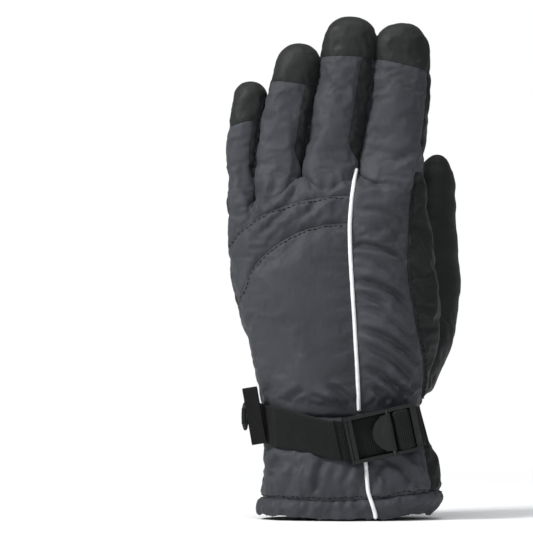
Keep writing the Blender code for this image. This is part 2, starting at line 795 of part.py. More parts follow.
def make_cam_lever():
    """The buckle's half-round thumb lever, with its hub on the pin and a tooth over the strap."""
    pin = buckle_matrix() @ (Vector((PIN_PLACE[0], PIN_PLACE[1], 0)) * MM)
    axis = make_guide("cam_lever_axis", Matrix.Translation(pin) @ buckle_matrix().to_3x3().to_4x4())
    reach, half = 11.5 * MM, 10.5 * MM
    flat = 1.2 * MM
    steps = 14
    outline = [(flat, half), (flat, -half)]
    for i in range(1, steps):
        angle = math.radians(-90 - 180 * i / steps)
        outline.append((flat + reach * math.cos(angle), half * math.sin(angle)))
    bm = bmesh.new()
    verts = [bm.verts.new((x, -0.5 * MM, z)) for x, z in outline]
    face = bm.faces.new(verts)
    moved = bmesh.ops.extrude_face_region(bm, geom=[face])["geom"]
    lifted = [v for v in moved if isinstance(v, bmesh.types.BMVert)]
    bmesh.ops.translate(bm, verts=lifted, vec=(0, -1.5 * MM, 0))
    bmesh.ops.recalc_face_normals(bm, faces=bm.faces)
    mesh = bpy.data.meshes.new("cam_lever")
    bm.to_mesh(mesh)
    bm.free()
    lever = add_object("cam_lever", mesh, "plastic", axis)
    hub_radius = 1.85 * MM
    hub = cylinder_object("lever_hub", None, axis, hub_radius, 2 * half - 0.6 * MM, (0, 0, 0))
    tooth = box_object("lever_tooth", (-4.4, -0.9, -10.2), (-0.9, 2.0, 10.2), None, axis)
    join_with(lever, [hub, tooth])
    bore = cylinder_object("lever_bore", None, axis, PIN_RADIUS + PIN_CLEARANCE, BUCKLE_HEIGHT, (0, 0, 0))
    cut(lever, as_cutter(bore))


def make_ring():
    """A D-ring on a webbing tab at the little-finger side, which rests towards the palm."""
    turn = Matrix.Rotation(math.radians(RING_REST_TURN), 4, "Z")
    axis = make_guide("ring_axis", Matrix.Translation(RING_CENTRE) @ turn)
    curve = bpy.data.curves.new("clip_ring", "CURVE")
    curve.dimensions = "3D"
    curve.bevel_depth = RING_WIRE
    curve.bevel_resolution = 1
    steps = 12
    places = [(0.0, RING_HALF_HEIGHT * (1 - 2 * i / 4)) for i in range(1, 4)]
    for i in range(steps + 1):
        angle = math.radians(-90 - 180 * i / steps)
        places.append((RING_HALF_HEIGHT * 1.05 * math.cos(angle), RING_HALF_HEIGHT * math.sin(angle)))
    spline = curve.splines.new("POLY")
    spline.points.add(len(places) - 1)
    for point, (x, z) in zip(spline.points, places):
        point.co = (x, 0, z, 1)
    spline.use_cyclic_u = True
    obj = bpy.data.objects.new("clip_ring", curve)
    bpy.data.collections[GLOVE].objects.link(obj)
    curve.materials.append(material("plastic"))
    obj.parent = axis

    loop_radius = RING_WIRE + 0.4 * MM + 0.45 * MM
    centres = [hand_point(172, RING_CENTRE.z, -1.4 * MM)]
    centres[0].y = RING_CENTRE.y + loop_radius
    for i in range(9):
        angle = math.radians(90 + 180 * i / 8)
        offset = Vector((math.cos(angle), math.sin(angle), 0)) * loop_radius
        centres.append(RING_CENTRE + offset)
    centres.append(centres[0] - Vector((0, 2 * loop_radius, 0)))
    ups = [Vector((0, 0, 1))] * len(centres)
    ribbon("ring_tab", "webbing", centres, ups, 9.0 * MM, 0.9 * MM)


def make_label():
    """A blank woven label, folded into the little-finger seam above the strap."""
    lean = Matrix.Rotation(math.radians(-10), 3, "Y")
    turn = Matrix.Rotation(math.radians(-32), 3, "Z")
    middle = Vector((-50.0, -12.6, 58.0)) * MM
    across = lean @ turn @ Vector((1, 0, 0))
    up = lean @ Vector((0, 0, 1))
    centres = [middle + across * (x * MM) for x in (-5.0, 0.0, 4.6)]
    ribbon("side_label", "label", centres, [up] * 3, 32 * MM, 0.8 * MM)


def place_glove():
    """Hangs every loose object and guide on one empty at the cuff's origin."""
    loose = [obj for obj in bpy.data.objects if obj.parent is None]
    origin = make_guide("cuff_origin", Matrix.Translation(CUFF_ORIGIN))
    for obj in loose:
        obj.parent = origin


def main():
    clear_scene()
    make_collection(GLOVE)
    make_collection("cutters")
    wadding = hand_layer("hand_wadding", "wadding", WADDING_DEPTH, WADDING_THICKNESS, ELASTIC_RECESS)
    lining = hand_layer("hand_lining", "lining", LINING_DEPTH, LINING_THICKNESS, ELASTIC_RECESS)
    shell = make_hand_shell()
    make_palm_patch()
    make_cuff()
    make_hem()
    make_piping()
    for name, finger in FINGERS.items():
        make_finger(name, finger)
    make_thumb([wadding, lining, *shell])
    make_wrist_strap()
    make_strap_anchor()
    make_buckle()
    make_cam_lever()
    make_ring()
    make_label()
    place_glove()


main()
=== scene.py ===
"""The looks of a left ski glove that stands on its cuff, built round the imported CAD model.

Shapes are worked out in millimetres from the cuff's own origin, with +Z towards the fingertips, +Y towards
the palm and +X towards the thumb, and are moved into the frame as each mesh is made.
"""

import json
import math

import bmesh
import bpy
import numpy as np
from mathutils import Matrix, Vector
from mathutils.bvhtree import BVHTree

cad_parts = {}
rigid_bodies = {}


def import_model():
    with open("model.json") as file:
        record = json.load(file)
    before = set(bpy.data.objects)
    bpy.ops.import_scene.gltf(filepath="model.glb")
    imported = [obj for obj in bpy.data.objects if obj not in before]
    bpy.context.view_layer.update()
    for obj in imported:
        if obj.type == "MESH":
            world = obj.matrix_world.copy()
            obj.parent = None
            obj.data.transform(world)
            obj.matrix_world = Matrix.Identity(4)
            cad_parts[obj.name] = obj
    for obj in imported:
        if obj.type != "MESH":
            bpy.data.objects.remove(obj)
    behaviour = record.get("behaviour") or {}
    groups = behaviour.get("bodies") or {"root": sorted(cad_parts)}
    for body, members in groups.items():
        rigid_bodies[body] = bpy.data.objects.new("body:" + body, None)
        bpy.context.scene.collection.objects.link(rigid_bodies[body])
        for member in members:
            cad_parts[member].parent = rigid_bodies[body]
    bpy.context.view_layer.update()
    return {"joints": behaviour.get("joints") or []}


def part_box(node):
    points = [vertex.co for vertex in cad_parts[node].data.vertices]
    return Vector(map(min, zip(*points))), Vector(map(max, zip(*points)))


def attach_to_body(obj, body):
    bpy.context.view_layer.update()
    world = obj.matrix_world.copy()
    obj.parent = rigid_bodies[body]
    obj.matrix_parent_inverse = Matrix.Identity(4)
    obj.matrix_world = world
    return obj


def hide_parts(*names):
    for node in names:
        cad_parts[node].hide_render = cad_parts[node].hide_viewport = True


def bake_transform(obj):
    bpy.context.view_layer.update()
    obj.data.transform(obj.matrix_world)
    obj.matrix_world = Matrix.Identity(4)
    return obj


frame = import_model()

MM = 0.001
HEM_MIDDLE_X = 2.31
hem_low, hem_high = (np.array(corner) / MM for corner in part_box("cuff_hem"))
ORIGIN = np.array([(hem_low[0] + hem_high[0]) / 2 - HEM_MIDDLE_X, (hem_low[1] + hem_high[1]) / 2, 0.0])

# Size of the outer skin's faces, how much it's made small and then grown, and the cloth's thickness.
VOXEL = 1.3
SLIM = 3.0
SHELL = 0.9
HEM_SHELL = 2.4
INNER_VOXEL = 2.6

# The hand: height, little-finger edge, thumb edge, half depth.
HAND_STATIONS = np.array([
    (0, -46.2, 43.5, 27.5),
    (4, -47.2, 47.4, 28.5),
    (8, -47.4, 52.0, 29.0),
    (12, -46.6, 55.6, 29.0),
    (15, -45.6, 56.4, 28.6),
    (19, -45.0, 53.4, 28.6),
    (26, -44.6, 52.6, 28.2),
    (38, -43.8, 50.4, 25.0),
    (46, -43.8, 45.6, 22.8),
    (53, -44.2, 43.0, 22.2),
    (62, -45.0, 42.0, 22.6),
    (74, -46.8, 47.4, 24.6),
    (88, -49.6, 50.2, 26.6),
    (101, -53.4, 51.6, 27.6),
    (114, -58.0, 52.2, 27.6),
    (126, -61.2, 52.4, 26.8),
    (140, -63.4, 51.2, 25.2),
    (156, -64.4, 49.4, 23.2),
    (175, -64.4, 47, 20.4),
    (190, -64.2, 45.8, 18.0),
    (206, -64.2, 45, 16.2),
])
HAND_ROUNDNESS = 2.4
# Height of the web between the fingers, across the hand.
WEB_LINE = np.array([(-80, 174), (-52, 176), (-44, 181), (-27, 192), (-5, 193.5), (22, 193), (60, 191)])
HEM_LINE = np.array([(-60, 12.6), (-43, 12.3), (-9, 11.2), (20, 12.5), (50, 16.5), (70, 17)])
WRIST_LINE = 57.2

# Each finger: half widths, and bows towards the thumb, at its knuckle, middle joint and tip; half depth;
# length to its middle joint and in all; where the grey back ends, as a share of the half width; how far
# it moves over inside the hand; and the cap's length and slant.
FINGERS = {
    "little": dict(
        widths=(8.3, 9.6, 9.7), bow=(4.2, 0.7, 1.9), depth=11.4, lower=30, length=65.8,
        back_end=0.42, inward=5, cap=24.5, slant=0.35,
    ),
    "ring": dict(
        widths=(13.8, 13.9, 12.5), bow=(-0.4, -0.2, 2.2), depth=12.6, lower=34, length=75.6,
        back_end=0.5, inward=0, cap=24, slant=0,
    ),
    "middle": dict(
        widths=(15.9, 16.1, 15.0), bow=(0.3, 0.5, 0.8), depth=13.2, lower=39, length=86.2,
        back_end=0.46, inward=0, cap=24.2, slant=0.1,
    ),
    "index": dict(
        widths=(18.6, 17.2, 15.5), bow=(-0.3, 0.4, -1.4), depth=13.2, lower=38, length=82.2,
        back_end=0.88, inward=0, cap=25, slant=-0.13,
    ),
}
MIDDLE_CURL = 5
FINGER_ROUNDNESS = 2.25
CAP_PALM_LENGTH = 8
# Height of the round end, as a share of the half width at the tip, and the places of its rings.
FINGER_DOME = 1.02
DOME_STOPS = 1 - np.sin(np.radians(np.arange(0, 89, 8)))

THUMB_INSIDE = (29, 5, 72)
# How far below the thumb's base joint its sleeve starts, and how far above it is split.
THUMB_START = 9
THUMB_SPLIT = 19
THUMB_RADII = (20.8, 17.8, 15.6, 8.8)

# Height, then the X of the piping.
PIPING_LINE = np.array([
    (2.8, 17.4), (12.9, 14.2), (15.1, 13.0), (31.4, 11.8), (59.9, 8.1), (80, 7.2), (94, 6.4), (108, 5.6),
    (122, 4.7), (136, 3.9), (150, 3.1), (164, 2.9), (178, 4.0), (190, 5.8), (198, 7.6),
])
# Height, then the X where the grey back meets the black side.
BLACK_LINE = np.array([
    (0, 50.5), (18, 49.2), (38, 45.4), (56, 43.4), (70, 44.0), (85, 45.4), (107, 40.4), (130, 36.4),
    (140, 35.2), (173, 36.6), (194, 40.2), (214, 43.5), (250, 46.0),
])
# Curved seams of the back: height at the low end, rise, X of the top, and width.
LOWER_BACK_SEAM = (112, 53, 0, 60)
UPPER_BACK_SEAM = (146, 34.5, 6, 71)
SIDE_SEAM_DEPTH = 6.0
# The wear patch: X from and to, then height from and to.
PATCH_BOX = (-63, -13, 117, 159)
# The value of a field where its line isn't to be found.
NOWHERE = -9.0


# ---------------------------------------------------------------- numbers


def smooth_step(t):
    t = np.clip(t, 0, 1)
    return t * t * (3 - 2 * t)


def smoothed_line(values, count):
    kernel = np.hanning(2 * count + 3)[1:-1]
    padded = np.concatenate([np.full(count, values[0]), values, np.full(count, values[-1])])
    return np.convolve(padded, kernel / kernel.sum(), "valid")


def smooth_table(table, column, values, width=5.0):
    """A column of a table against its first column, rounded over this many millimetres."""
    fine = np.arange(table[0, 0], table[-1, 0] + 0.5, 0.5)
    line = np.interp(fine, table[:, 0], table[:, column])
    return np.interp(values, fine, smoothed_line(line, int(width * 2)))


def lattice(i, j, k, seed):
    """A repeatable number from 0 to 1 for each whole-numbered point."""
    n = (i * 374761393 + j * 668265263 + k * 2147483647 + seed * 1274126177) & 0xFFFFFFFF
    n = ((n ^ (n >> 13)) * 1274126177) & 0xFFFFFFFF
    return ((n ^ (n >> 16)) & 0xFFFF) / 65535.0


def noise(points, size, seed=0):
    """Smooth noise from -1 to 1 with features about this size."""
    q = np.asarray(points, float) / size
    base = np.floor(q).astype(np.int64)
    f = q - base
    f = f * f * f * (f * (f * 6 - 15) + 10)
    total = np.zeros(len(q))
    for dx in (0, 1):
        for dy in (0, 1):
            for dz in (0, 1):
                weight = np.ones(len(q))
                for axis, d in enumerate((dx, dy, dz)):
                    weight = weight * (f[:, axis] if d else 1 - f[:, axis])
                total += weight * lattice(base[:, 0] + dx, base[:, 1] + dy, base[:, 2] + dz, seed)
    return total * 2 - 1


def noise_along(values, size, seed=0):
    flat = np.zeros((len(values), 3))
    flat[:, 0] = values
    return noise(flat, size, seed)


def unit(v):
    return np.asarray(v, float) / np.linalg.norm(v)


# ---------------------------------------------------------------- the frame's joints, in these millimetres


def joint_of(name):
    return next(j for j in frame["joints"] if j["name"] == name)


def joint_place(name):
    return np.array(joint_of(name)["pos_m"]) / MM - ORIGIN


def finger_axes(name):
    """The finger's places: its knuckle, its middle joint, and the directions of its two lengths."""
    size = FINGERS[name]
    root = joint_place(f"{name}_knuckle")
    middle = joint_place(f"{name}_middle_joint")
    across = -unit(joint_of(f"{name}_knuckle")["axis"])
    lower = unit(middle - root)
    front = np.cross(lower, across)
    curl = math.radians(MIDDLE_CURL)
    upper = lower * math.cos(curl) + front * math.sin(curl)
    return dict(
        root=root, middle=middle, across=across, lower=lower, front=front, upper=upper,
        upper_front=np.cross(upper, across), size=size,
    )


AXES = {name: finger_axes(name) for name in FINGERS}
NAMES = list(FINGERS)

thumb_base = joint_place("thumb_base_joint")
thumb_middle = joint_place("thumb_tip_joint")
thumb_across = -unit(joint_of("thumb_base_joint")["axis"])
thumb_lower = unit(thumb_middle - thumb_base)
thumb_front = np.cross(thumb_lower, thumb_across)
thumb_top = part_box("thumb_upper_shell")[1].z / MM
THUMB_TIP = np.array([55.0, 38.6, thumb_top - 0.4])


# ---------------------------------------------------------------- meshes


def to_frame(points):
    return (np.asarray(points, float) + ORIGIN) * MM


def mesh_from(name, points, faces):
    mesh = bpy.data.meshes.new(name)
    mesh.from_pydata(to_frame(points).tolist(), [], [tuple(int(i) for i in f) for f in faces])
    mesh.update()
    return mesh


def add_object(name, mesh, material=None):
    obj = bpy.data.objects.new(name, mesh)
    bpy.context.scene.collection.objects.link(obj)
    if material:
        mesh.materials.append(material)
    return obj


def rings_to_mesh(rings, closed_ends=True):
    """Points and faces of a loft through rings with equal counts."""
    rings = [np.asarray(r, float) for r in rings]
    count = len(rings[0])
    points = np.concatenate(rings)
    faces = []
    for row in range(len(rings) - 1):
        low, high = row * count, (row + 1) * count
        for i in range(count):
            j = (i + 1) % count
            faces.append((low + i, low + j, high + j, high + i))
    if closed_ends:
        faces.append(tuple(reversed(range(count))))
        faces.append(tuple(range(len(points) - count, len(points))))
    return points, faces


def superellipse(angle, roundness):
    c, s = np.cos(angle), np.sin(angle)
    return np.sign(c) * np.abs(c) ** (2 / roundness), np.sign(s) * np.abs(s) ** (2 / roundness)


def hand_size(height):
    """Middle across, half width and half depth of the hand at these heights."""
    left = smooth_table(HAND_STATIONS, 1, height)
    right = smooth_table(HAND_STATIONS, 2, height)
    return (left + right) / 2, (right - left) / 2, smooth_table(HAND_STATIONS, 3, height)


def hand_ring(height, inset, angles, squeeze=1.0):
    middle, half_width, half_depth = hand_size(height)
    ex, ey = superellipse(angles, HAND_ROUNDNESS)
    x = middle + ex * (half_width - inset)
    return np.stack([x, ey * (half_depth - inset) * squeeze, np.full_like(x, height)], 1)


def hand_loft(inset):
    angles = np.arange(96) * 2 * math.pi / 96
    rings = [hand_ring(h, inset, angles) for h in np.arange(0, 151, 4.0)]
    for share in np.linspace(0, 1, 22)[1:]:
        dome = np.clip((share - 0.72) / 0.28, 0, 1)
        squeeze = math.sqrt(max(0.02, 1 - dome**2))
        ring = hand_ring(150 + 42 * share, inset, angles, squeeze)
        top = smooth_table(WEB_LINE, 1, ring[:, 0]) - inset
        ring[:, 2] = 150 + (top - 150) * share
        rings.append(ring)
    return rings_to_mesh(rings)


def finger_profile(size, s, inset):
    """Half width and half depth of a finger at this distance from its knuckle, flared into the hand."""
    low, length = size["lower"], size["length"]
    widths = size["widths"]
    width = np.interp(s, (-20, -4, low, length), (widths[0] * 0.7, widths[0], widths[1], widths[2])) - inset
    full = size["depth"]
    depth = np.interp(s, (0, low, length), (full, full * 0.97, full * 0.92)) - inset
    depth = depth + 4.6 * smooth_step((16 - s) / 34)
    dome = widths[2] * FINGER_DOME
    rise = np.clip((s - (length - dome)) / (dome - inset), 0, 1)
    shrink = np.maximum(0, 1 - rise**2.25) ** (1 / 2.25)
    return width * shrink, depth * shrink


def finger_bow(size, s):
    """How far the finger's middle line lies from its joints' line, towards the thumb."""
    at_root, at_middle, at_tip = size["bow"]
    first = at_root + (at_middle - at_root) * smooth_step(s / size["lower"])
    first = first + size["inward"] * smooth_step(-s / 20)
    return first + (at_tip - at_middle) * smooth_step((s - size["lower"]) / (size["length"] - size["lower"]))


def finger_centre(axes, s):
    size = axes["size"]
    bow = axes["across"] * finger_bow(size, s)
    if s <= size["lower"]:
        return axes["root"] + axes["lower"] * s + bow, axes["front"]
    return axes["middle"] + axes["upper"] * (s - size["lower"]) + bow, axes["upper_front"]


def finger_loft(name, inset, start=-20.0, columns=48, step=2.5):
    axes = AXES[name]
    size = axes["size"]
    angles = np.arange(columns) * 2 * math.pi / columns
    ex, ey = superellipse(angles, FINGER_ROUNDNESS)
    reach = size["widths"][2] * FINGER_DOME
    body = np.arange(start, size["length"] - reach, step)
    dome = size["length"] - inset - (reach - inset) * DOME_STOPS
    rings = []
    for s in np.concatenate([body, dome]):
        width, depth = finger_profile(size, s, inset)
        centre, front = finger_centre(axes, s)
        rings.append(centre + np.outer(ex * width, axes["across"]) + np.outer(ey * depth, front))
    return rings_to_mesh(rings)


def thumb_line(count=60):
    """Points along the thumb with the radius and length at each, from inside the hand to the tip."""
    knots = np.array([THUMB_INSIDE, (41, 18, 98), thumb_base, thumb_middle, THUMB_TIP])
    radii = np.array([THUMB_RADII[0], THUMB_RADII[0] * 0.97, THUMB_RADII[1], THUMB_RADII[2], THUMB_RADII[3]])
    t = np.concatenate([[0], np.cumsum(np.linalg.norm(np.diff(knots, axis=0), axis=1))])
    fine = np.linspace(0, t[-1], count)
    table = np.column_stack([t, knots, radii])
    centre = np.stack([smooth_table(table, c, fine, 14) for c in (1, 2, 3)], 1)
    centre[-1] = THUMB_TIP
    radius = smooth_table(table, 4, fine, 14)
    return centre, radius, fine


def thumb_loft(inset):
    centre, radius, length = thumb_line()
    angles = np.arange(48) * 2 * math.pi / 48
    ex, ey = superellipse(angles, 2.15)
    total = length[-1]
    dome = 20.0
    rings = []
    stops = np.concatenate([np.arange(0, total - dome, 3.0), total - dome * DOME_STOPS])
    for s in stops:
        c = np.array([np.interp(s, length, centre[:, k]) for k in range(3)])
        r = np.interp(s, length, radius) - inset
        rise = np.clip((s - (total - dome)) / (dome - inset), 0, 1)
        shrink = (1 - rise**1.9) ** (1 / 1.9)
        ring = c + np.outer(ex * r * shrink, thumb_across) + np.outer(ey * r * 0.93 * shrink, thumb_front)
        rings.append(ring)
    return rings_to_mesh(rings)


def take_evaluated(obj):
    """Points and four-cornered faces of an object with its modifiers. The object is then removed."""
    evaluated = obj.evaluated_get(bpy.context.evaluated_depsgraph_get())
    mesh = evaluated.to_mesh()
    co = np.empty(len(mesh.vertices) * 3)
    mesh.vertices.foreach_get("co", co)
    quads = np.empty(len(mesh.loops), np.int32)
    mesh.loops.foreach_get("vertex_index", quads)
    evaluated.to_mesh_clear()
    bpy.data.objects.remove(obj)
    return co.reshape(-1, 3) / MM - ORIGIN, quads.reshape(-1, 4)


def voxel_union(parts, voxel):
    """One closed skin round several closed shapes."""
    points, faces, count = [], [], 0
    for p, f in parts:
        points.append(p)
        faces += [tuple(i + count for i in face) for face in f]
        count += len(p)
    obj = add_object("union", mesh_from("union", np.concatenate(points), faces))
    remesh = obj.modifiers.new("Remesh", "REMESH")
    remesh.mode = "VOXEL"
    remesh.voxel_size = voxel * MM
    return take_evaluated(obj)


def edges_of(faces):
    ends = np.concatenate([faces[:, [0, 1]], faces[:, [1, 2]], faces[:, [2, 3]], faces[:, [3, 0]]])
    return np.unique(np.sort(ends, axis=1), axis=0)


def smoothed(points, edges, times, weight=0.5, shrink_back=0.0):
    """Laplacian smoothing. With shrink_back, every second step pushes out again to keep the volume."""
    n = len(points)
    degree = np.bincount(edges.ravel(), minlength=n)[:, None]
    for step in range(times):
        total = np.zeros((n, points.shape[1]))
        for axis in range(points.shape[1]):
            total[:, axis] = np.bincount(edges[:, 0], points[edges[:, 1], axis], n)
            total[:, axis] += np.bincount(edges[:, 1], points[edges[:, 0], axis], n)
        pull = -shrink_back if shrink_back and step % 2 else weight
        points = points + (total / degree - points) * pull
    return points


def normals_of(points, faces):
    """Smooth normals at the points of a mesh whose faces are triangles or quads."""
    total = np.zeros_like(points)
    for f in faces:
        a, b, c = points[f[:, 0]], points[f[:, 1]], points[f[:, 2]]
        d = points[f[:, 3]] if f.shape[1] == 4 else c
        n = np.cross(c - a, d - b) if f.shape[1] == 4 else np.cross(b - a, c - a)
        for k in range(f.shape[1]):
            for axis in range(3):
                total[:, axis] += np.bincount(f[:, k], n[:, axis], len(points))
    return total / np.maximum(np.linalg.norm(total, axis=1), 1e-9)[:, None]


# ---------------------------------------------------------------- where each point lies


def local(points, place, across, front, along):
    d = points - place
    return d @ across, d @ front, d @ along


def finger_place(points, name):
    """Distance along a finger from its knuckle, and places across and deep in its section."""
    axes = AXES[name]
    low = axes["size"]["lower"]
    x1, y1, s1 = local(points, axes["root"], axes["across"], axes["front"], axes["lower"])
    x2, y2, s2 = local(points, axes["middle"], axes["across"], axes["upper_front"], axes["upper"])
    beyond = smooth_step((s2 + 4) / 8)
    s = s1 * (1 - beyond) + (s2 + low) * beyond
    across = x1 * (1 - beyond) + x2 * beyond - finger_bow(axes["size"], s)
    return s, across, y1 * (1 - beyond) + y2 * beyond


def rounded_box(x, z, box, rounding):
    """Distance inside a rectangle with round corners, positive within it."""
    low_x, high_x, low_z, high_z = box
    dx = np.abs(x - (low_x + high_x) / 2) - (high_x - low_x) / 2 + rounding
    dz = np.abs(z - (low_z + high_z) / 2) - (high_z - low_z) / 2 + rounding
    outside = np.hypot(np.maximum(dx, 0), np.maximum(dz, 0))
    return rounding - outside - np.minimum(np.maximum(dx, dz), 0)


def fields_of(points):
    """Signed distances, in millimetres, to each seam and to each line where two pieces part."""
    x, y, z = points.T
    found = {}
    owner = np.zeros(len(points), int)
    best = np.full(len(points), 1e9)
    along, across, deep = (np.zeros(len(points)) for _ in range(3))
    for i, name in enumerate(NAMES):
        s, a, d = finger_place(points, name)
        width = AXES[name]["size"]["widths"][0]
        score = np.hypot(a / width, d / AXES[name]["size"]["depth"])
        mine = score < best
        best[mine], owner[mine] = score[mine], i
        along[mine], across[mine], deep[mine] = s[mine], a[mine], d[mine]
    found["owner"], found["along"], found["deep"] = owner, along, deep
    keys = ("lower", "length", "depth", "back_end", "cap", "slant")
    size = {k: np.array([FINGERS[n][k] for n in NAMES], float)[owner] for k in keys}
    width = np.array([FINGERS[n]["widths"][1] for n in NAMES])[owner]

    centre, radius, _ = thumb_line(90)
    nearest = np.full(len(points), 1e9)
    for c, r in zip(centre, radius):
        nearest = np.minimum(nearest, np.linalg.norm(points - c, axis=1) - r)
    middle, half_width, half_depth = hand_size(np.clip(z, 0, 206))
    n = HAND_ROUNDNESS
    ratio = (np.abs((x - middle) / half_width) ** n + np.abs(y / half_depth) ** n) ** (1 / n)
    hand = (ratio - 1) * half_depth
    thumb = np.where(z > 64, hand - nearest, NOWHERE)
    found["thumb"] = np.where(z > 208, -9.0, thumb)
    found["thumb"] = np.where((y < 4) | (x < 0), -9.0, found["thumb"])
    up_thumb = (points - thumb_base) @ thumb_lower
    found["thumb_start"] = up_thumb + THUMB_START
    found["thumb_split"] = up_thumb - THUMB_SPLIT

    in_finger = (z > 160) & (found["thumb"] < 0)
    found["start"] = np.where(in_finger, along + 1.0, NOWHERE)
    found["split"] = np.where(in_finger, along - 0.6 * size["lower"], NOWHERE)
    towards_palm = smooth_step((deep / size["depth"] + 0.15) / 1.0)
    cap_start = size["length"] - size["cap"] + (size["cap"] - CAP_PALM_LENGTH) * towards_palm
    slanted = size["slant"] * across * (1 - towards_palm)
    found["cap"] = np.where(in_finger, along - cap_start - slanted, NOWHERE)
    edge = size["back_end"] + (1.12 - size["back_end"]) * smooth_step((17 - along) / 17)
    found["finger_back"] = np.minimum(-deep + 0.5, edge * width - across)

    black = smooth_table(BLACK_LINE, 1, z, 8)
    found["back"] = np.where(x > middle, np.minimum(black - x, -y + 1), -y)
    found["side"] = np.where(x > 0, SIDE_SEAM_DEPTH - y, NOWHERE)
    found["piping"] = x - smooth_table(PIPING_LINE, 1, z, 6)

    def back_seam(seam):
        start, rise, end, width_ = seam
        t = np.clip((end - x) / width_, 0, 1)
        return z - (start + rise * np.sqrt(1 - t * t))

    found["upper_seam"] = back_seam(UPPER_BACK_SEAM)
    found["lower_seam"] = back_seam(LOWER_BACK_SEAM)
    found["wrist"] = z - WRIST_LINE
    found["hem"] = z - smooth_table(HEM_LINE, 1, x, 8)
    found["patch"] = np.where(y > 6, rounded_box(x, z, PATCH_BOX, 7), NOWHERE)
    return found


# ---------------------------------------------------------------- cutting the skin along its seams


def slopes_of(points, names, step=0.15):
    """How fast each named field changes along X, Y and Z at each point."""
    base = fields_of(points)
    result = {name: np.zeros((len(points), 3)) for name in names}
    for axis in range(3):
        moved = points.copy()
        moved[:, axis] += step
        ahead = fields_of(moved)
        for name in names:
            result[name][:, axis] = (ahead[name] - base[name]) / step
    return base, result


class Skin:
    """A closed skin: each point's place at rest, its shaped place, its normal, and the faces."""

    def __init__(self, parts, voxel, smoothing):
        rest, quads = voxel_union(parts, voxel)
        edges = edges_of(quads)
        rest = smoothed(rest, edges, smoothing)
        self.voxel = voxel
        self.rest = rest
        self.shape = rest.copy()
        self.quads = quads
        self.edges = edges
        self.normals = normals_of(rest, [quads])
        self.locked = np.zeros(len(rest), bool)
        self.faces = [tuple(f) for f in quads.tolist()]

    def push_out(self, distance):
        self.rest = self.rest + self.normals * distance
        self.shape = self.rest.copy()

    def split(self, name, zone_of):
        """Cuts the faces where the named field passes through 0, within a zone."""
        found = fields_of(self.rest)
        zone = zone_of(found)
        value = found[name].copy()
        self.slide_onto_line(name, value, zone)
        sizes = np.array([len(f) for f in self.faces])
        flat = np.fromiter((i for f in self.faces for i in f), np.int64, sizes.sum())
        starts = np.concatenate([[0], np.cumsum(sizes)[:-1]])
        low = np.minimum.reduceat(value[flat], starts)
        high = np.maximum.reduceat(value[flat], starts)
        inside = np.logical_and.reduceat(zone[flat], starts)
        crossing = np.flatnonzero((low < 0) & (high > 0) & inside)
        made, weights = {}, []
        count = len(self.rest)

        def crossing_point(a, b):
            key = (a, b) if a < b else (b, a)
            if key not in made:
                made[key] = count + len(made)
                weights.append((key[0], key[1], value[key[0]] / (value[key[0]] - value[key[1]])))
            return made[key]

        faces = list(self.faces)
        extra = []
        for index in crossing:
            face = faces[index]
            ring, zeros = [], []
            for k, a in enumerate(face):
                b = face[(k + 1) % len(face)]
                if value[a] == 0.0:
                    zeros.append(len(ring))
                ring.append(a)
                if value[a] * value[b] < 0:
                    zeros.append(len(ring))
                    ring.append(crossing_point(a, b))
            if len(zeros) == 2 and 1 < zeros[1] - zeros[0] < len(ring) - 1:
                faces[index] = tuple(ring[zeros[0]:zeros[1] + 1])
                extra.append(tuple(ring[zeros[1]:] + ring[:zeros[0] + 1]))
            else:
                faces[index] = tuple(ring)
        self.faces = faces + extra
        if not weights:
            return
        a, b, t = (np.array(column) for column in zip(*weights))
        a, b, t = a.astype(int), b.astype(int), t[:, None]
        self.rest = np.concatenate([self.rest, self.rest[a] * (1 - t) + self.rest[b] * t])
        self.shape = np.concatenate([self.shape, self.shape[a] * (1 - t) + self.shape[b] * t])
        self.normals = np.concatenate([self.normals, self.normals[a] * (1 - t) + self.normals[b] * t])
        self.locked = np.concatenate([self.locked, np.ones(len(a), bool)])
        ends = np.zeros(len(self.rest), bool)
        ends[a] = ends[b] = True
        self.take_new_corners(made, ends)

    def slide_onto_line(self, name, value, zone):
        """Moves the points close to the line onto it, so that the cut leaves no slivers."""
        index = np.flatnonzero(zone & (np.abs(value) < self.voxel))
        if not len(index):
            return
        _, slopes = slopes_of(self.rest[index], [name])
        slope = slopes[name]
        normal = self.normals[index]
        slope = slope - (slope * normal).sum(1)[:, None] * normal
        size = np.linalg.norm(slope, axis=1)
        away = value[index] / np.maximum(size, 1e-6)
        free = ~self.locked[index]
        close = (np.abs(away) < np.where(free, 0.33, 0.12) * self.voxel) & (size > 0.05)
        move = -slope * (away / np.maximum(size, 1e-6))[:, None]
        moving = close & free
        self.rest[index[moving]] += move[moving]
        self.shape[index[moving]] += move[moving]
        value[index[close]] = 0.0
        self.locked[index[close]] = True

    def take_new_corners(self, made, ends):
        """A face beside a cut edge takes the edge's new corner, so that the skin stays closed."""
        for index, face in enumerate(self.faces):
            if sum(ends[i] for i in face) < 2:
                continue
            ring = []
            for k, a in enumerate(face):
                b = face[(k + 1) % len(face)]
                ring.append(a)
                corner = made.get((a, b) if a < b else (b, a))
                if corner is not None:
                    ring.append(corner)
            if len(ring) > len(face):
                self.faces[index] = tuple(ring)

    def triangles(self):
        fans = [(f[0], f[k], f[k + 1]) for f in self.faces for k in range(1, len(f) - 1)]
        return np.array(fans)

    def centres(self):
        sizes = np.array([len(f) for f in self.faces])
        flat = np.fromiter((i for f in self.faces for i in f), np.int64, sizes.sum())
        starts = np.concatenate([[0], np.cumsum(sizes)[:-1]])
        return np.add.reduceat(self.rest[flat], starts, axis=0) / sizes[:, None]

    def shape_centre(self, chosen):
        return self.shape[np.unique([i for k in chosen for i in self.faces[k]])].mean(0)

    def renew_normals(self):
        self.normals = normals_of(self.shape, [self.triangles()])


def in_fingers(f):
    return f["start"] > -0.6


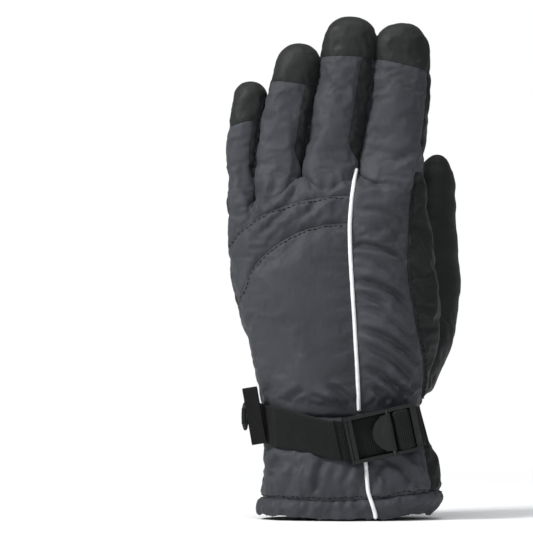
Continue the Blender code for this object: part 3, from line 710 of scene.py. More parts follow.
def on_hand(f):
    return (f["start"] < 0.6) & (f["thumb"] < 0.6)


def above_wrist(f):
    return on_hand(f) & (f["wrist"] > -0.6)


def on_back(f):
    return above_wrist(f) & (f["back"] > -0.8)


CUTS = [
    ("thumb", lambda f: f["wrist"] > 5),
    ("thumb_start", lambda f: f["thumb"] > -0.5),
    ("thumb_split", lambda f: f["thumb"] > -0.5),
    ("start", lambda f: f["thumb"] < 0.5),
    ("split", in_fingers),
    ("cap", in_fingers),
    ("finger_back", lambda f: in_fingers(f) & (f["cap"] < 0.6)),
    ("hem", on_hand),
    ("wrist", on_hand),
    ("back", lambda f: on_hand(f) & (f["hem"] > -0.6)),
    ("piping", lambda f: on_hand(f) & (f["back"] > -0.8) & (f["hem"] > -0.6)),
    ("upper_seam", lambda f: on_back(f) & (f["piping"] < 0.6)),
    ("lower_seam", lambda f: on_back(f) & (f["piping"] < 0.6) & (f["upper_seam"] < 0.6)),
    ("side", lambda f: above_wrist(f) & (f["back"] < 0.6)),
    ("patch", lambda f: above_wrist(f) & (f["back"] < 0.6)),
]


def names_of(f):
    """The name of the piece that each point belongs to."""
    names = np.full(len(f["back"]), "palm_panel", dtype="<U24")

    def name_where(where, name):
        names[where] = name

    hand_back = f["back"] > 0
    name_where(~hand_back & (f["side"] > 0), "thumb_side_panel")
    name_where(~hand_back & (f["patch"] > 0), "palm_patch")
    name_where(hand_back, "back_panel")
    name_where(hand_back & (f["lower_seam"] > 0), "back_band")
    name_where(hand_back & (f["upper_seam"] > 0), "knuckle_panel")
    name_where(hand_back & (f["piping"] > 0), "index_back_panel")
    name_where((f["wrist"] < 0) & hand_back, "cuff_back")
    name_where((f["wrist"] < 0) & ~hand_back, "cuff_palm")
    name_where(f["hem"] < 0, "cuff_hem")
    for i, name in enumerate(NAMES):
        mine = (f["start"] > 0) & (f["owner"] == i)
        for part, where in (("lower", f["split"] <= 0), ("upper", f["split"] > 0)):
            name_where(mine & where & (f["finger_back"] > 0), f"{name}_{part}_back")
            name_where(mine & where & (f["finger_back"] <= 0), f"{name}_{part}_palm")
        name_where(mine & (f["cap"] > 0), f"{name}_tip_cap")
    thumb = f["thumb"] > 0
    name_where(thumb, "thumb_gusset")
    name_where(thumb & (f["thumb_start"] > 0), "thumb_lower_shell")
    name_where(thumb & (f["thumb_split"] > 0), "thumb_upper_shell")
    return names


# ---------------------------------------------------------------- the shape of stuffed and sewn cloth


def seam_table(points, normals):
    """For each seam: the distance from each point, and the nearest point on it."""
    base, slopes = slopes_of(points, SEAMS)
    found = {}
    for name, zone_of in SEAMS.items():
        slope = slopes[name] - (slopes[name] * normals).sum(1)[:, None] * normals
        size = np.maximum(np.linalg.norm(slope, axis=1), 0.3)
        away = base[name] / size
        distance = np.where(zone_of(base), np.abs(away), 99.0)
        found[name] = (distance, points - slope * (away / size)[:, None])
    return base, found


SEAMS = {
    "thumb": lambda f: (f["thumb"] > -8.9) & (f["thumb_start"] < 30),
    "cap": lambda f: f["start"] > 10,
    "finger_back": lambda f: (f["start"] > 0) & (f["cap"] < 3),
    "hem": lambda f: f["start"] < 0,
    "wrist": lambda f: (f["start"] < 0) & (f["thumb"] < 0),
    "back": lambda f: (f["start"] < 1) & (f["thumb"] < 0) & (f["hem"] > -1),
    "piping": lambda f: (f["start"] < 1) & (f["back"] > 0),
    "upper_seam": lambda f: (f["start"] < 1) & (f["back"] > 0) & (f["piping"] < 0) & (f["wrist"] > 0),
    "lower_seam": lambda f: (f["start"] < 1) & (f["back"] > 0) & (f["piping"] < 0) & (f["wrist"] > 0),
    "side": lambda f: (
        (f["start"] < 1) & (f["back"] < 0) & (f["wrist"] > 0) & (f["side"] > -8.9) & (f["thumb"] < 0)
    ),
    "patch": lambda f: (f["start"] < 1) & (f["patch"] > -8.9) & (f["wrist"] > 0),
}

# Each seam: how deep it pulls the cloth in, how deep its puckers are, and how long one pucker is.
SEAM_PULL = {
    "thumb": (1.0, 0.35, 4.5), "cap": (0.35, 0.22, 3.6), "finger_back": (0.6, 0.25, 4.0),
    "hem": (1.7, 0.8, 3.8), "wrist": (1.8, 0.9, 6.0), "back": (0.8, 0.3, 5.0), "piping": (0.5, 0.3, 5.5),
    "upper_seam": (0.95, 0.75, 4.2), "lower_seam": (0.95, 0.35, 4.6), "side": (0.7, 0.2, 5.0),
    "patch": (0.35, 0.1, 6.0),
}

# Creases in the cloth of the back: from x, z to x, z, half width, depth.
CREASES = [
    ((4, 153), (38, 141), 1.9, 1.8),
    ((6, 146), (30, 134), 1.7, 0.9),
    ((6, 134), (38, 117), 2.2, 2.1),
    ((8, 126), (26, 114), 1.7, 1.0),
    ((9, 119), (34, 103), 2.0, 1.5),
    ((8, 107), (40, 88), 2.2, 2.0),
    ((10, 98), (38, 77), 2.0, 1.8),
    ((10, 86), (30, 70), 1.9, 1.5),
    ((20, 78), (38, 68), 1.7, 1.2),
    ((8, 172), (34, 166), 2.0, 1.1),
    ((6, 163), (22, 160), 1.7, 0.7),
    ((12, 186), (36, 182), 1.9, 0.9),
    ((28, 200), (44, 207), 2.4, 0.8),
    ((15, 205), (38, 199), 2.2, 0.6),
    ((30, 222), (45, 226), 2.0, 0.5),
    ((-10, 187), (-22, 169), 2.2, 1.1),
    ((-26, 186), (-48, 158), 2.2, 1.3),
    ((-3, 190), (-14, 176), 2.0, 0.8),
    ((-38, 190), (-46, 170), 2.0, 0.7),
    ((-52, 178), (-54, 163), 2.0, 0.8),
    ((-6, 206), (8, 202), 2.0, 0.4),
    ((-34, 222), (-22, 219), 1.8, 0.5),
    ((-58, 208), (-50, 205), 1.6, 0.4),
    ((-33, 64), (-22, 73), 2.2, 1.4),
    ((-8, 75), (5, 64), 2.4, 2.0),
    ((-18, 70), (-6, 63), 2.0, 1.1),
    ((16, 74), (24, 65), 2.0, 1.3),
    ((21, 82), (32, 69), 2.2, 1.6),
    ((29, 66), (41, 77), 2.2, 1.6),
    ((-16, 16), (-10, 34), 2.4, 1.4),
    ((-36, 36), (-42, 22), 2.4, 1.3),
    ((-29, 18), (-26, 30), 2.2, 1.0),
    ((3, 34), (0, 22), 2.2, 1.0),
    ((25, 34), (37, 22), 2.6, 1.6),
    ((16, 20), (20, 32), 2.2, 1.0),
    ((40, 34), (46, 26), 2.2, 1.2),
]


def crease_depth(x, z):
    """How deep the long creases of the back are: each is a furrow with a soft ridge on both sides."""
    total = np.zeros(len(x))
    for (x0, z0), (x1, z1), width, depth in CREASES:
        run = np.array([x1 - x0, z1 - z0], float)
        length = np.hypot(*run)
        run /= length
        t = ((x - x0) * run[0] + (z - z0) * run[1]) / length
        bend = 0.08 * length * np.sin(np.clip(t, 0, 1) * math.pi)
        d = ((z - z0) * run[0] - (x - x0) * run[1] - bend) / width
        fade = smooth_step((t + 0.15) / 0.35) * smooth_step((1.15 - t) / 0.35)
        total += depth * fade * (0.55 * np.exp(-((np.abs(d) - 1.7) ** 2)) - np.exp(-(d**2)))
    return total


def shape_cloth(skin):
    """Pulls the skin in at its seams, puckers it beside them, and lays folds between them."""
    f, seams = seam_table(skin.rest, skin.normals)
    x, y, z = skin.rest.T
    finger = smooth_step((f["start"] + 6) / 12)
    thumb = smooth_step((f["thumb"] + 2) / 4)
    hand = (1 - finger) * (1 - thumb)
    nearest = np.full(len(x), 99.0)
    lift = np.zeros(len(x))
    for name, (pull, pucker, length) in SEAM_PULL.items():
        distance, place = seams[name]
        nearest = np.minimum(nearest, distance)
        lift -= pull * np.exp(-((distance / 1.5) ** 2)) * 0.7
        waves = noise(place, length, 3) + 0.5 * noise(place, length * 0.5, 4)
        reach = 1 - np.exp(-distance / 1.2)
        lift += pucker * waves * reach * np.exp(-distance / 5.5)
    puff = 1 - np.exp(-nearest / 6)
    lift += puff * (1.6 * hand + 0.4 * finger + 0.7 * thumb) - 0.5 + 0.25 * finger

    back = smooth_step((f["back"] + 1) / 3) * (1 - thumb)
    flat = np.stack([x, z, y * 0.3], 1)
    lift += 1.35 * crease_depth(x, z) * back * (1 - np.exp(-nearest / 2.5))
    slanted = np.stack([x * 0.55 + z * 0.84, (z * 0.55 - x * 0.84) * 0.32, y * 0.6], 1)
    lift += 0.35 * noise(slanted, 7, 11) * puff * (0.5 + 0.5 * hand)
    lift += 1.2 * noise(flat, 26, 12) * hand * puff
    right = smooth_step(f["piping"] / 6) * back * hand
    lift += 0.55 * noise(slanted, 9, 13) * right * puff

    wrist = np.abs(z - WRIST_LINE + 4)
    around = np.arctan2(y / 24, (x - 2) / 48) * 45

    def round_cuff(rise, size, seed):
        return noise(np.stack([around, z * rise, np.zeros(len(x))], 1), size, seed)

    gather = round_cuff(0.12, 4.4, 21)
    gather += 0.6 * round_cuff(0.2, 2.4, 22)
    palm_side = smooth_step((y + 4) / 8)
    lift += gather * np.exp(-((wrist / 13) ** 2)) * (0.75 + 0.75 * palm_side) * (z < 100)
    hem = smooth_step((HEM_LINE[0, 1] + 2 - z) / 5)
    pleats = round_cuff(0.05, 2.6, 23)
    lift += 0.45 * pleats * hem * (1 - smooth_step((x - 5) / 20) * 0.5)
    lift += 0.9 * round_cuff(0.15, 10, 24) * smooth_step((42 - z) / 10) * puff

    ribs = np.sin((f["along"] - 2) * 2 * math.pi / 7.5)
    palm_of_finger = smooth_step((f["deep"] - 3) / 5) * finger
    bend = np.exp(-(((f["along"] - 36) / 12) ** 2))
    lift += 0.35 * ribs * palm_of_finger * bend
    across_thumb = noise(np.stack([x * 0.3, y * 0.3, z], 1), 6, 31)
    lift += 0.55 * across_thumb * thumb * smooth_step((f["thumb_start"] + 30) / 20)
    palm = (1 - back) * hand
    lift += 0.6 * noise(np.stack([x, y, z * 0.7], 1), 9, 32) * palm * puff
    strap = smooth_step((z - 37) / 5) * smooth_step((70 - z) / 6) * smooth_step((6 - y) / 8)
    lift = lift * (1 - strap) + np.minimum(lift, -0.3) * strap
    skin.shape = skin.shape + skin.normals * lift[:, None]


def lift_hem(skin):
    """The hem's two ends hang a little higher than its middle."""
    x, _, z = skin.shape.T
    rise = 2.2 * smooth_step((-14 - x) / 30) + 3.6 * smooth_step((x - 20) / 26)
    skin.shape[:, 2] += rise * smooth_step((16 - z) / 16)
    skin.shape[:, 2] += 0.5 * noise(np.stack([x, x, x], 1), 8, 41) * smooth_step((10 - z) / 10)
    skin.shape[:, 2] = np.maximum(skin.shape[:, 2], 0.15)


CLOTH_VOXEL = 2.3
CLOTH_FRAMES = 22
CLOTH_PRESSURE = 4
# How much larger than its place the cloth is cut, as a share.
CLOTH_EXTRA = 0.05
# In how many steps the hold of the seams fades.
HOLD_STEPS = 20
# The most that the simulation moves each part, in millimetres.
MOST_SWELLING = dict(hand=2.9, finger=1.5, thumb=1.6, cap=0.45)


def held_places(points, normals):
    """How firmly each point of the cloth is held, from 0 to 1: by its seams and by the strap."""
    held = np.zeros(len(points))
    for distance, _ in seam_table(points, normals)[1].values():
        held = np.maximum(held, np.exp(-((distance / 1.5) ** 2)))
    z, y = points[:, 2], points[:, 1]
    strap = smooth_step((z - 40) / 4) * smooth_step((67 - z) / 4) * smooth_step((8 - y) / 8)
    return np.maximum(held, strap)


def swelling(parts):
    """A cloth simulation of the whole glove: its cloth is cut a little large, and the wadding pushes it out.

    It gives the simulated skin's points at rest, its faces, and how far each point moves.
    """
    points, quads = voxel_union(parts, CLOTH_VOXEL)
    points = smoothed(points, edges_of(quads), 5)
    normals = normals_of(points, [quads])
    points = points + normals * SLIM
    held = held_places(points, normals)
    obj = add_object("swelling", mesh_from("swelling", points, [tuple(q) for q in quads.tolist()]))
    group = obj.vertex_groups.new(name="held")
    steps = np.round(held * HOLD_STEPS).astype(int)
    for step in range(1, HOLD_STEPS + 1):
        group.add(np.flatnonzero(steps == step).tolist(), step / HOLD_STEPS, "REPLACE")
    cloth = obj.modifiers.new("Cloth", "CLOTH")
    settings = cloth.settings
    settings.quality = 5
    settings.mass = 0.02
    settings.tension_stiffness = settings.compression_stiffness = 15
    settings.shear_stiffness = 5
    settings.bending_stiffness = 0.1
    settings.vertex_group_mass = "held"
    settings.use_pressure = True
    settings.uniform_pressure_force = CLOTH_PRESSURE
    settings.shrink_min = -CLOTH_EXTRA
    settings.effector_weights.gravity = 0
    cloth.collision_settings.use_collision = False
    cloth.point_cache.frame_end = CLOTH_FRAMES
    for number in range(1, CLOTH_FRAMES + 1):
        bpy.context.scene.frame_set(number)
    after, _ = take_evaluated(obj)
    bpy.context.scene.frame_set(1)
    return points, quads, after - points


def swell(skin, parts):
    """Moves the skin as the simulated cloth moved, up to a few millimetres."""
    points, quads, moves = swelling(parts)
    tree = BVHTree.FromPolygons(points.tolist(), quads.tolist())
    found = np.zeros_like(skin.shape)
    for i, place in enumerate(skin.rest.tolist()):
        hit, _, index, _ = tree.find_nearest(Vector(place))
        corners = quads[index]
        near = 1 / (np.linalg.norm(points[corners] - np.array(hit), axis=1) + 0.05) ** 2
        found[i] = (moves[corners] * near[:, None]).sum(0) / near.sum()
    f = fields_of(skin.rest)
    finger = smooth_step((f["start"] + 8) / 16)
    thumb = smooth_step((f["thumb"] + 2) / 4)
    limit = MOST_SWELLING
    most = np.where(thumb > 0.5, limit["thumb"], limit["hand"] + (limit["finger"] - limit["hand"]) * finger)
    most = most + (limit["cap"] - most) * smooth_step((f["cap"] + 2) / 3)
    length = np.linalg.norm(found, axis=1)
    skin.shape = skin.shape + found * (most * np.tanh(length / most) / np.maximum(length, 1e-6))[:, None]


# ---------------------------------------------------------------- pieces from the skin


def piece_mesh(skin, chosen, thickness):
    """A closed shell of the chosen faces: its points and faces, its rim, and its points in the skin."""
    faces = [skin.faces[i] for i in chosen]
    used = np.unique(np.fromiter((i for f in faces for i in f), np.int64))
    renumber = {int(old): new for new, old in enumerate(used)}
    outer = skin.shape[used]
    inner = outer - skin.normals[used] * thickness
    count = len(used)
    shell = [tuple(renumber[i] for i in f) for f in faces]
    edge_use = {}
    for f in shell:
        for k, a in enumerate(f):
            b = f[(k + 1) % len(f)]
            edge_use[(a, b)] = edge_use.get((a, b), 0) + 1
    rim = [(a, b) for (a, b) in edge_use if (b, a) not in edge_use]
    inside = [tuple(i + count for i in reversed(f)) for f in shell]
    side = [(b, a, a + count, b + count) for a, b in rim]
    points = np.concatenate([outer, inner])
    return points, shell + inside + side, rim, count, used


def joint_blends():
    """For each piece that spans a joint: its two bodies, and where a bend across the joint would start and
    end.
    """
    found = {}
    for finger, axes in AXES.items():
        root, middle, lower, upper = (axes[k] for k in ("root", "middle", "lower", "upper"))
        length = axes["size"]["lower"]
        first = (root - lower, root + lower * length * 0.5)
        second = (middle - lower * length * 0.32, middle + upper * length * 0.32)
        for layer in ("back", "palm", "liner"):
            found[f"{finger}_lower_{layer}"] = ("hand", f"{finger}_lower", *first)
            found[f"{finger}_upper_{layer}"] = (f"{finger}_lower", f"{finger}_upper", *second)
    for layer in ("shell", "liner"):
        found[f"thumb_lower_{layer}"] = (
            "hand", "thumb_lower", thumb_base - thumb_lower * 9, thumb_base + thumb_lower * 10,
        )
        found[f"thumb_upper_{layer}"] = (
            "thumb_lower", "thumb_upper", thumb_middle - thumb_lower * 16, thumb_middle + thumb_lower * 13,
        )
    return found


BLENDS = joint_blends()


def body_of_piece(name):
    if name.endswith("_tip_cap"):
        return name.replace("_tip_cap", "_upper")
    return "hand"


def attach(obj, name):
    """Bakes its place into a piece that spans a joint, which then stays where it is, or lets the piece ride
    on its body.
    """
    if name in BLENDS:
        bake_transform(obj)
    else:
        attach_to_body(obj, body_of_piece(name))


def slot_of(name):
    grey = ("back_panel", "back_band", "knuckle_panel", "index_back_panel", "cuff_back", "cuff_hem")
    if name in grey or name.endswith("_back"):
        return "grey_shell"
    if name.endswith("_tip_cap"):
        return "fingertip"
    return "black_shell"


# Lines that a sleeve is cut on but not sewn on.
SOFT_EDGES = {"start", "split", "thumb_start", "thumb_split"}


def make_piece(name, skin, chosen, material, thickness):
    """One sewn piece: a shell of the skin's faces, smoothed, in its place on its body."""
    points, faces, rim, count, used = piece_mesh(skin, chosen, thickness)
    mesh = mesh_from(f"{name}_sewn", points, faces)
    obj = add_object(f"{name}_sewn", mesh, material)
    mesh.shade_smooth()
    bm = bmesh.new()
    bm.from_mesh(mesh)
    bm.verts.ensure_lookup_table()
    crease = bm.edges.layers.float.new("crease_edge")
    hidden = skin.hidden[used]
    for a, b in rim:
        outer = bm.edges.get((bm.verts[a], bm.verts[b]))
        inner = bm.edges.get((bm.verts[a + count], bm.verts[b + count]))
        for edge in (outer, inner):
            if edge is None:
                continue
            edge.smooth = False
            edge[crease] = 1.0 if hidden[a] and hidden[b] else 0.35
    bm.to_mesh(mesh)
    bm.free()
    rounding = obj.modifiers.new("Rounding", "SUBSURF")
    rounding.levels = rounding.render_levels = 1
    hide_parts(name)
    attach(obj, name)


# ---------------------------------------------------------------- inner layers


def inner_name(name):
    """The liner or wadding under a piece of the outer shell."""
    for finger in NAMES:
        if name.startswith(finger) and name != "index_back_panel":
            part = "lower" if "_lower_" in name else "upper"
            return f"{finger}_{part}_liner"
    if name.startswith("thumb_") and name != "thumb_side_panel":
        return name.replace("_shell", "") + "_liner"
    return "hand_wadding"


def make_inner_layer(inset, thickness, voxel, cuts, rename, materials, low_end):
    """A layer inside the shell, in the same pieces as its solids."""
    parts = [hand_loft(inset), thumb_loft(inset)] + [finger_loft(name, inset) for name in NAMES]
    skin = Skin(parts, voxel, 4)
    for name, zone_of in cuts:
        skin.split(name, zone_of)
    skin.renew_normals()
    x, y, z = skin.rest.T
    quilt = noise(skin.rest, 7, 51) * 0.35 + 0.3 * np.sin(z * 2 * math.pi / 16) * (z < 180)
    skin.shape = skin.shape + skin.normals * (quilt - 0.3)[:, None]
    skin.hidden = np.ones(len(skin.rest), bool)
    centres = skin.centres()
    names = np.array([rename(n) for n in names_of(fields_of(centres))])
    names[centres[:, 2] < low_end] = "opening"
    for name in sorted(set(names) - {"opening"}):
        slot = "lining" if name == "hand_lining" else "wadding"
        make_piece(name, skin, np.flatnonzero(names == name), materials[slot], thickness)


def make_inner(materials):
    make_inner_layer(4.0, 1.6, INNER_VOXEL, CUTS[:5], inner_name, materials, 12.5)

    def lining_name(name):
        return "hand_lining" if inner_name(name) == "hand_wadding" else "opening"

    make_inner_layer(6.2, 0.7, INNER_VOXEL, [CUTS[0], CUTS[3]], lining_name, materials, 11.0)


# ---------------------------------------------------------------- sweeps


def resample(points, step):
    """A smooth curve through the points (Catmull-Rom), with a point every step millimetres."""
    p = np.asarray(points, float)
    p = np.concatenate([[2 * p[0] - p[1]], p, [2 * p[-1] - p[-2]]])
    fine = []
    for i in range(1, len(p) - 2):
        t = np.linspace(0, 1, 24, endpoint=False)[:, None]
        a, b, c, d = p[i - 1:i + 3]
        square = (2 * a - 5 * b + 4 * c - d) * t**2
        fine.append(0.5 * (2 * b + (c - a) * t + square + (3 * b - a - 3 * c + d) * t**3))
    fine = np.concatenate(fine + [p[-2:-1]])
    run = np.concatenate([[0], np.cumsum(np.linalg.norm(np.diff(fine[:, :3], axis=0), axis=1))])
    stops = np.linspace(0, run[-1], max(2, int(run[-1] / step)) + 1)
    return np.stack([np.interp(stops, run, fine[:, k]) for k in range(p.shape[1])], 1), stops


def along_path(path):
    tangent = np.gradient(path, axis=0)
    return tangent / np.linalg.norm(tangent, axis=1)[:, None]


def webbing_mesh(name, low, high, thickness, step=0.22, rib=1.1, rib_depth=0.15):
    """A woven strap between two edges, with ribs across it and soft selvedges."""
    both, stops = resample(np.concatenate([low, high], 1), step)
    low, high = both[:, :3], both[:, 3:]
    across = high - low
    width = np.linalg.norm(across, axis=1)[:, None]
    normal = np.cross(along_path((low + high) / 2), across / width)
    normal /= np.linalg.norm(normal, axis=1)[:, None]
    share = 0.5 - 0.5 * np.cos(np.linspace(0.0, math.pi, 15))
    edge = np.sqrt(np.clip(1 - np.abs(2 * share - 1) ** 14, 0, 1))
    ribs = rib_depth * np.sin(stops * 2 * math.pi / rib)
    selvedge = 0.16 * np.exp(-(((np.minimum(share, 1 - share) - 0.05) / 0.02) ** 2))
    section = []
    for side, row in ((1, range(15)), (-1, range(13, 0, -1))):
        for k in row:
            height = side * (thickness / 2 * edge[k] + (ribs + selvedge[k]) * edge[k])
            section.append(low + across * share[k] + normal * height[:, None])
    rings = np.stack(section, 1)
    points, faces = rings_to_mesh(list(rings))
    mesh = mesh_from(name, points, faces)
    mesh.shade_smooth()
    mesh.set_sharp_from_angle(angle=math.radians(60))
    return mesh


def tube_mesh(name, path, radius, sides=10, closed=False, flatten=1.0, ups=None):
    """A round cord or wire along a path."""
    tangent = along_path(path)
    if closed:
        tangent = np.roll(path, -1, 0) - np.roll(path, 1, 0)
        tangent /= np.linalg.norm(tangent, axis=1)[:, None]
    side = np.cross(tangent, ups if ups is not None else np.array([0.31, 0.9, 0.28]))
    side /= np.linalg.norm(side, axis=1)[:, None]
    up = np.cross(side, tangent)
    angles = np.arange(sides) * 2 * math.pi / sides
    radius = np.broadcast_to(radius, len(path))
    rings = [
        p + np.outer(np.cos(angles) * r, s) + np.outer(np.sin(angles) * r * flatten, u)
        for p, r, s, u in zip(path, radius, side, up)
    ]
    points, faces = rings_to_mesh(rings, not closed)
    if closed:
        last = len(points) - sides
        faces += [(last + i, last + (i + 1) % sides, (i + 1) % sides, i) for i in range(sides)]
    mesh = mesh_from(name, points, faces)
    face_outwards(mesh)
    mesh.shade_smooth()
    return mesh


def face_outwards(mesh):
    bm = bmesh.new()
    bm.from_mesh(mesh)
    bmesh.ops.recalc_face_normals(bm, faces=bm.faces)
    bm.to_mesh(mesh)
    bm.free()


def outward(obj):
    """The object, with its faces turned outwards."""
    face_outwards(obj.data)
    return obj


# ---------------------------------------------------------------- strap and buckle

STRAP_MIDDLE = 53.5
STRAP_WIDTH = 22.6
STRAP_THICKNESS = 1.1
BUCKLE_PLACE = (21.0, -27.6, 48.5)
BUCKLE_YAW, BUCKLE_ROLL = 9, 12
BUCKLE_END, BUCKLE_HALF, BUCKLE_RAIL = 20.5, 13.1, 1.9
PIN_PLACE = (4.0, -2.9, 0.0)


def buckle_axes():
    yaw = Matrix.Rotation(math.radians(BUCKLE_YAW), 3, "Z")
    roll = Matrix.Rotation(math.radians(-BUCKLE_ROLL), 3, "Y")
    return np.array(yaw @ roll)


BUCKLE_TURN = buckle_axes()


def in_buckle(points):
    """Points given in the buckle's own millimetres: X along the strap, Z up, outwards is -Y."""
    return np.asarray(points, float) @ BUCKLE_TURN.T + np.array(BUCKLE_PLACE)


def arc(centre, radius, start, end, count):
    angles = np.radians(np.linspace(start, end, count))
    return [(centre[0] + radius * math.cos(a), centre[1] + radius * math.sin(a)) for a in angles]


def edges_in_buckle(path, half):
    flat = np.array([(x, y, 0.0) for x, y in path])
    up = np.array([0, 0, half])
    return in_buckle(flat - up), in_buckle(flat + up)


def make_strap(materials):
    """The webbing from the little-finger seam, through the buckle and back under its plate."""
    low, high = [], []
    for angle in (188, 193, 199, 206, 215, 224):
        share = (angle - 190) / 46
        height = STRAP_MIDDLE - 2.5 * smooth_step(share)
        ends = [hand_ring(height + s * STRAP_WIDTH / 2, -1.9, np.radians([angle]))[0] for s in (-1, 1)]
        low.append(ends[0])
        high.append(ends[1])
    path = [(-30.0, 0.9), (-25.0, 0.3), (-21.5, 0.1), (-16, 0.15), (-8, 0.2), (0, 0.2)]
    path += arc((3.1, 1.675), 1.475, -90, 90, 7) + [(-2, 3.15), (-7, 3.15)]
    inner_low, inner_high = edges_in_buckle(path, STRAP_WIDTH / 2)
    for index, rise in enumerate((3.0, 1.6, 0.4)):
        inner_low[index][2] += rise
        inner_high[index][2] += rise
    low, high = np.concatenate([low, inner_low]), np.concatenate([high, inner_high])
    mesh = webbing_mesh("wrist_webbing", low, high, STRAP_THICKNESS)
    strap = outward(add_object("wrist_webbing", mesh, materials["webbing"]))
    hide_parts("wrist_strap")
    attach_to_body(strap, "hand")

    path = [(21.5, 1.7), (19, 1.3)] + arc((9.6, -1.55), 2.7, 90, 270, 9) + arc((14.0, -2.35), 1.9, -90, 0, 4)
    path += [(15.8, -1.4), (16.6, -0.45), (19, -0.3), (22.0, 0.5)]
    half = STRAP_WIDTH / 2 - 0.6
    low, high = edges_in_buckle(path, half)
    height = STRAP_MIDDLE - 1.5
    under, over = (
        [[hand_ring(height + s * half, inset, np.radians([a]))[0] for s in (-1, 1)] for a in (334, 344)]
        for inset in (0.6, -0.6)
    )
    low = np.concatenate([[under[1][0], under[0][0]], low, [over[0][0], over[1][0]]])
    high = np.concatenate([[under[1][1], under[0][1]], high, [over[0][1], over[1][1]]])
    mesh = webbing_mesh("anchor_webbing", low, high, 1.05)
    anchor = outward(add_object("anchor_webbing", mesh, materials["webbing"]))
    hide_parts("strap_anchor")
    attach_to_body(anchor, "hand")


def add_block(bm, low, high):
    size = np.subtract(high, low)
    centre = np.add(high, low) / 2
    matrix = Matrix.Translation(Vector(centre)) @ Matrix.Diagonal((*size, 1.0))
    return bmesh.ops.create_cube(bm, size=1.0, matrix=matrix)


def moulded(name, blocks, rounding, material, holes=()):
    """One moulded piece in the buckle's own millimetres: blocks joined, holes cut, edges rounded."""
    first = None
    for index, maker in enumerate(blocks):
        bm = bmesh.new()
        maker(bm)
        mesh = bpy.data.meshes.new(f"{name}_{index}")
        bm.to_mesh(mesh)
        bm.free()
        obj = add_object(f"{name}_{index}", mesh)
        if first is None:
            first = obj
            continue
        union = first.modifiers.new("Join", "BOOLEAN")
        union.operation = "DIFFERENCE" if index in holes else "UNION"
        union.object = obj
    bevel = first.modifiers.new("Rounding", "BEVEL")
    bevel.width = rounding
    bevel.segments = 3
    bevel.limit_method = "ANGLE"
    bevel.angle_limit = math.radians(40)
    bevel.harden_normals = False
    graph = bpy.context.evaluated_depsgraph_get()
    mesh = bpy.data.meshes.new_from_object(first.evaluated_get(graph))
    for index in range(len(blocks)):
        bpy.data.objects.remove(bpy.data.objects[f"{name}_{index}"])
    co = np.empty(len(mesh.vertices) * 3)
    mesh.vertices.foreach_get("co", co)
    mesh.vertices.foreach_set("co", to_frame(in_buckle(co.reshape(-1, 3))).ravel())
    mesh.materials.clear()
    mesh.shade_smooth()
    mesh.set_sharp_from_angle(angle=math.radians(50))
    mesh.name = name
    return add_object(name, mesh, material)


def block(low, high):
    return lambda bm: add_block(bm, low, high)


def rod(radius, length, place, sides=28):
    def make(bm):
        bmesh.ops.create_cone(
            bm, cap_ends=True, segments=sides, radius1=radius, radius2=radius, depth=length,
            matrix=Matrix.Translation(place),
        )
    return make


def half_disc(place, reach, half, low, high):
    """A half-round plate with its flat side towards +X."""
    def make(bm):
        outline = [(1.2, half), (1.2, -half)]
        outline += [
            (1.2 + reach * math.cos(a), half * math.sin(a)) for a in np.radians(np.linspace(-98, -262, 25))
        ]
        face = bm.faces.new([bm.verts.new((place[0] + x, place[1] + low, place[2] + z)) for x, z in outline])
        moved = bmesh.ops.extrude_face_region(bm, geom=[face])["geom"]
        lifted = [v for v in moved if isinstance(v, bmesh.types.BMVert)]
        bmesh.ops.translate(bm, verts=lifted, vec=(0, high - low, 0))
        bmesh.ops.recalc_face_normals(bm, faces=bm.faces)
    return make


def make_buckle(materials):
    """A ladder frame of moulded plastic, with a half-round lever on a pin between its rails."""
    end, half, rail = BUCKLE_END, BUCKLE_HALF, BUCKLE_RAIL
    inner = half - rail + 0.2
    blocks = [
        block((-end, -4.0, half - rail), (end, 2.3, half)),
        block((-end, -4.0, -half), (end, 2.3, rail - half)),
        block((-end, -3.5, -inner), (-19.2, 2.3, inner)),
        block((-18.6, -3.5, -inner), (-16.3, -0.75, inner)),
        block((-19.3, -2.6, -inner), (-18.5, -0.75, inner)),
        block((-end, 1.05, -inner), (3.0, 2.3, inner)),
        block((9.6, -3.3, -inner), (14.0, -1.5, inner)),
        block((17.0, -3.6, -inner), (end, -1.3, inner)),
        rod(1.3, 40, PIN_PLACE),
    ]
    frame_piece = moulded("buckle_shell", blocks, 0.42, materials["plastic"], holes=(8,))
    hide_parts("buckle_frame")
    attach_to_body(frame_piece, "hand")

    pin_x, pin_y, _ = PIN_PLACE
    grips = [block((pin_x - 0.4 + k * 0.9, -5.25, -9.2), (pin_x + k * 0.9, -4.7, 9.2)) for k in (0, 1)]
    lever_blocks = [
        half_disc(PIN_PLACE, 11.5, 10.5, -2.1, -0.5),
        rod(1.85, 20.4, PIN_PLACE),
        block((pin_x - 4.4, pin_y - 0.9, -10.0), (pin_x - 0.9, pin_y + 1.9, 10.0)),
        *grips,
        rod(1.25, 40, PIN_PLACE),
    ]
    lever = moulded("lever_moulding", lever_blocks, 0.3, materials["plastic"], holes=(5,))
    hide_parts("cam_lever")
    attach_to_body(lever, "lever")

    pin = moulded("buckle_pin", [rod(0.95, 2 * half - 0.8, PIN_PLACE)], 0.2, materials["steel"])
    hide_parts("cam_pin")
    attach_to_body(pin, "hand")


# ---------------------------------------------------------------- ring, tab, label and elastic

RING_WIRE = 1.15
RING_HALF = 7.0
RING_REST_TURN = -78


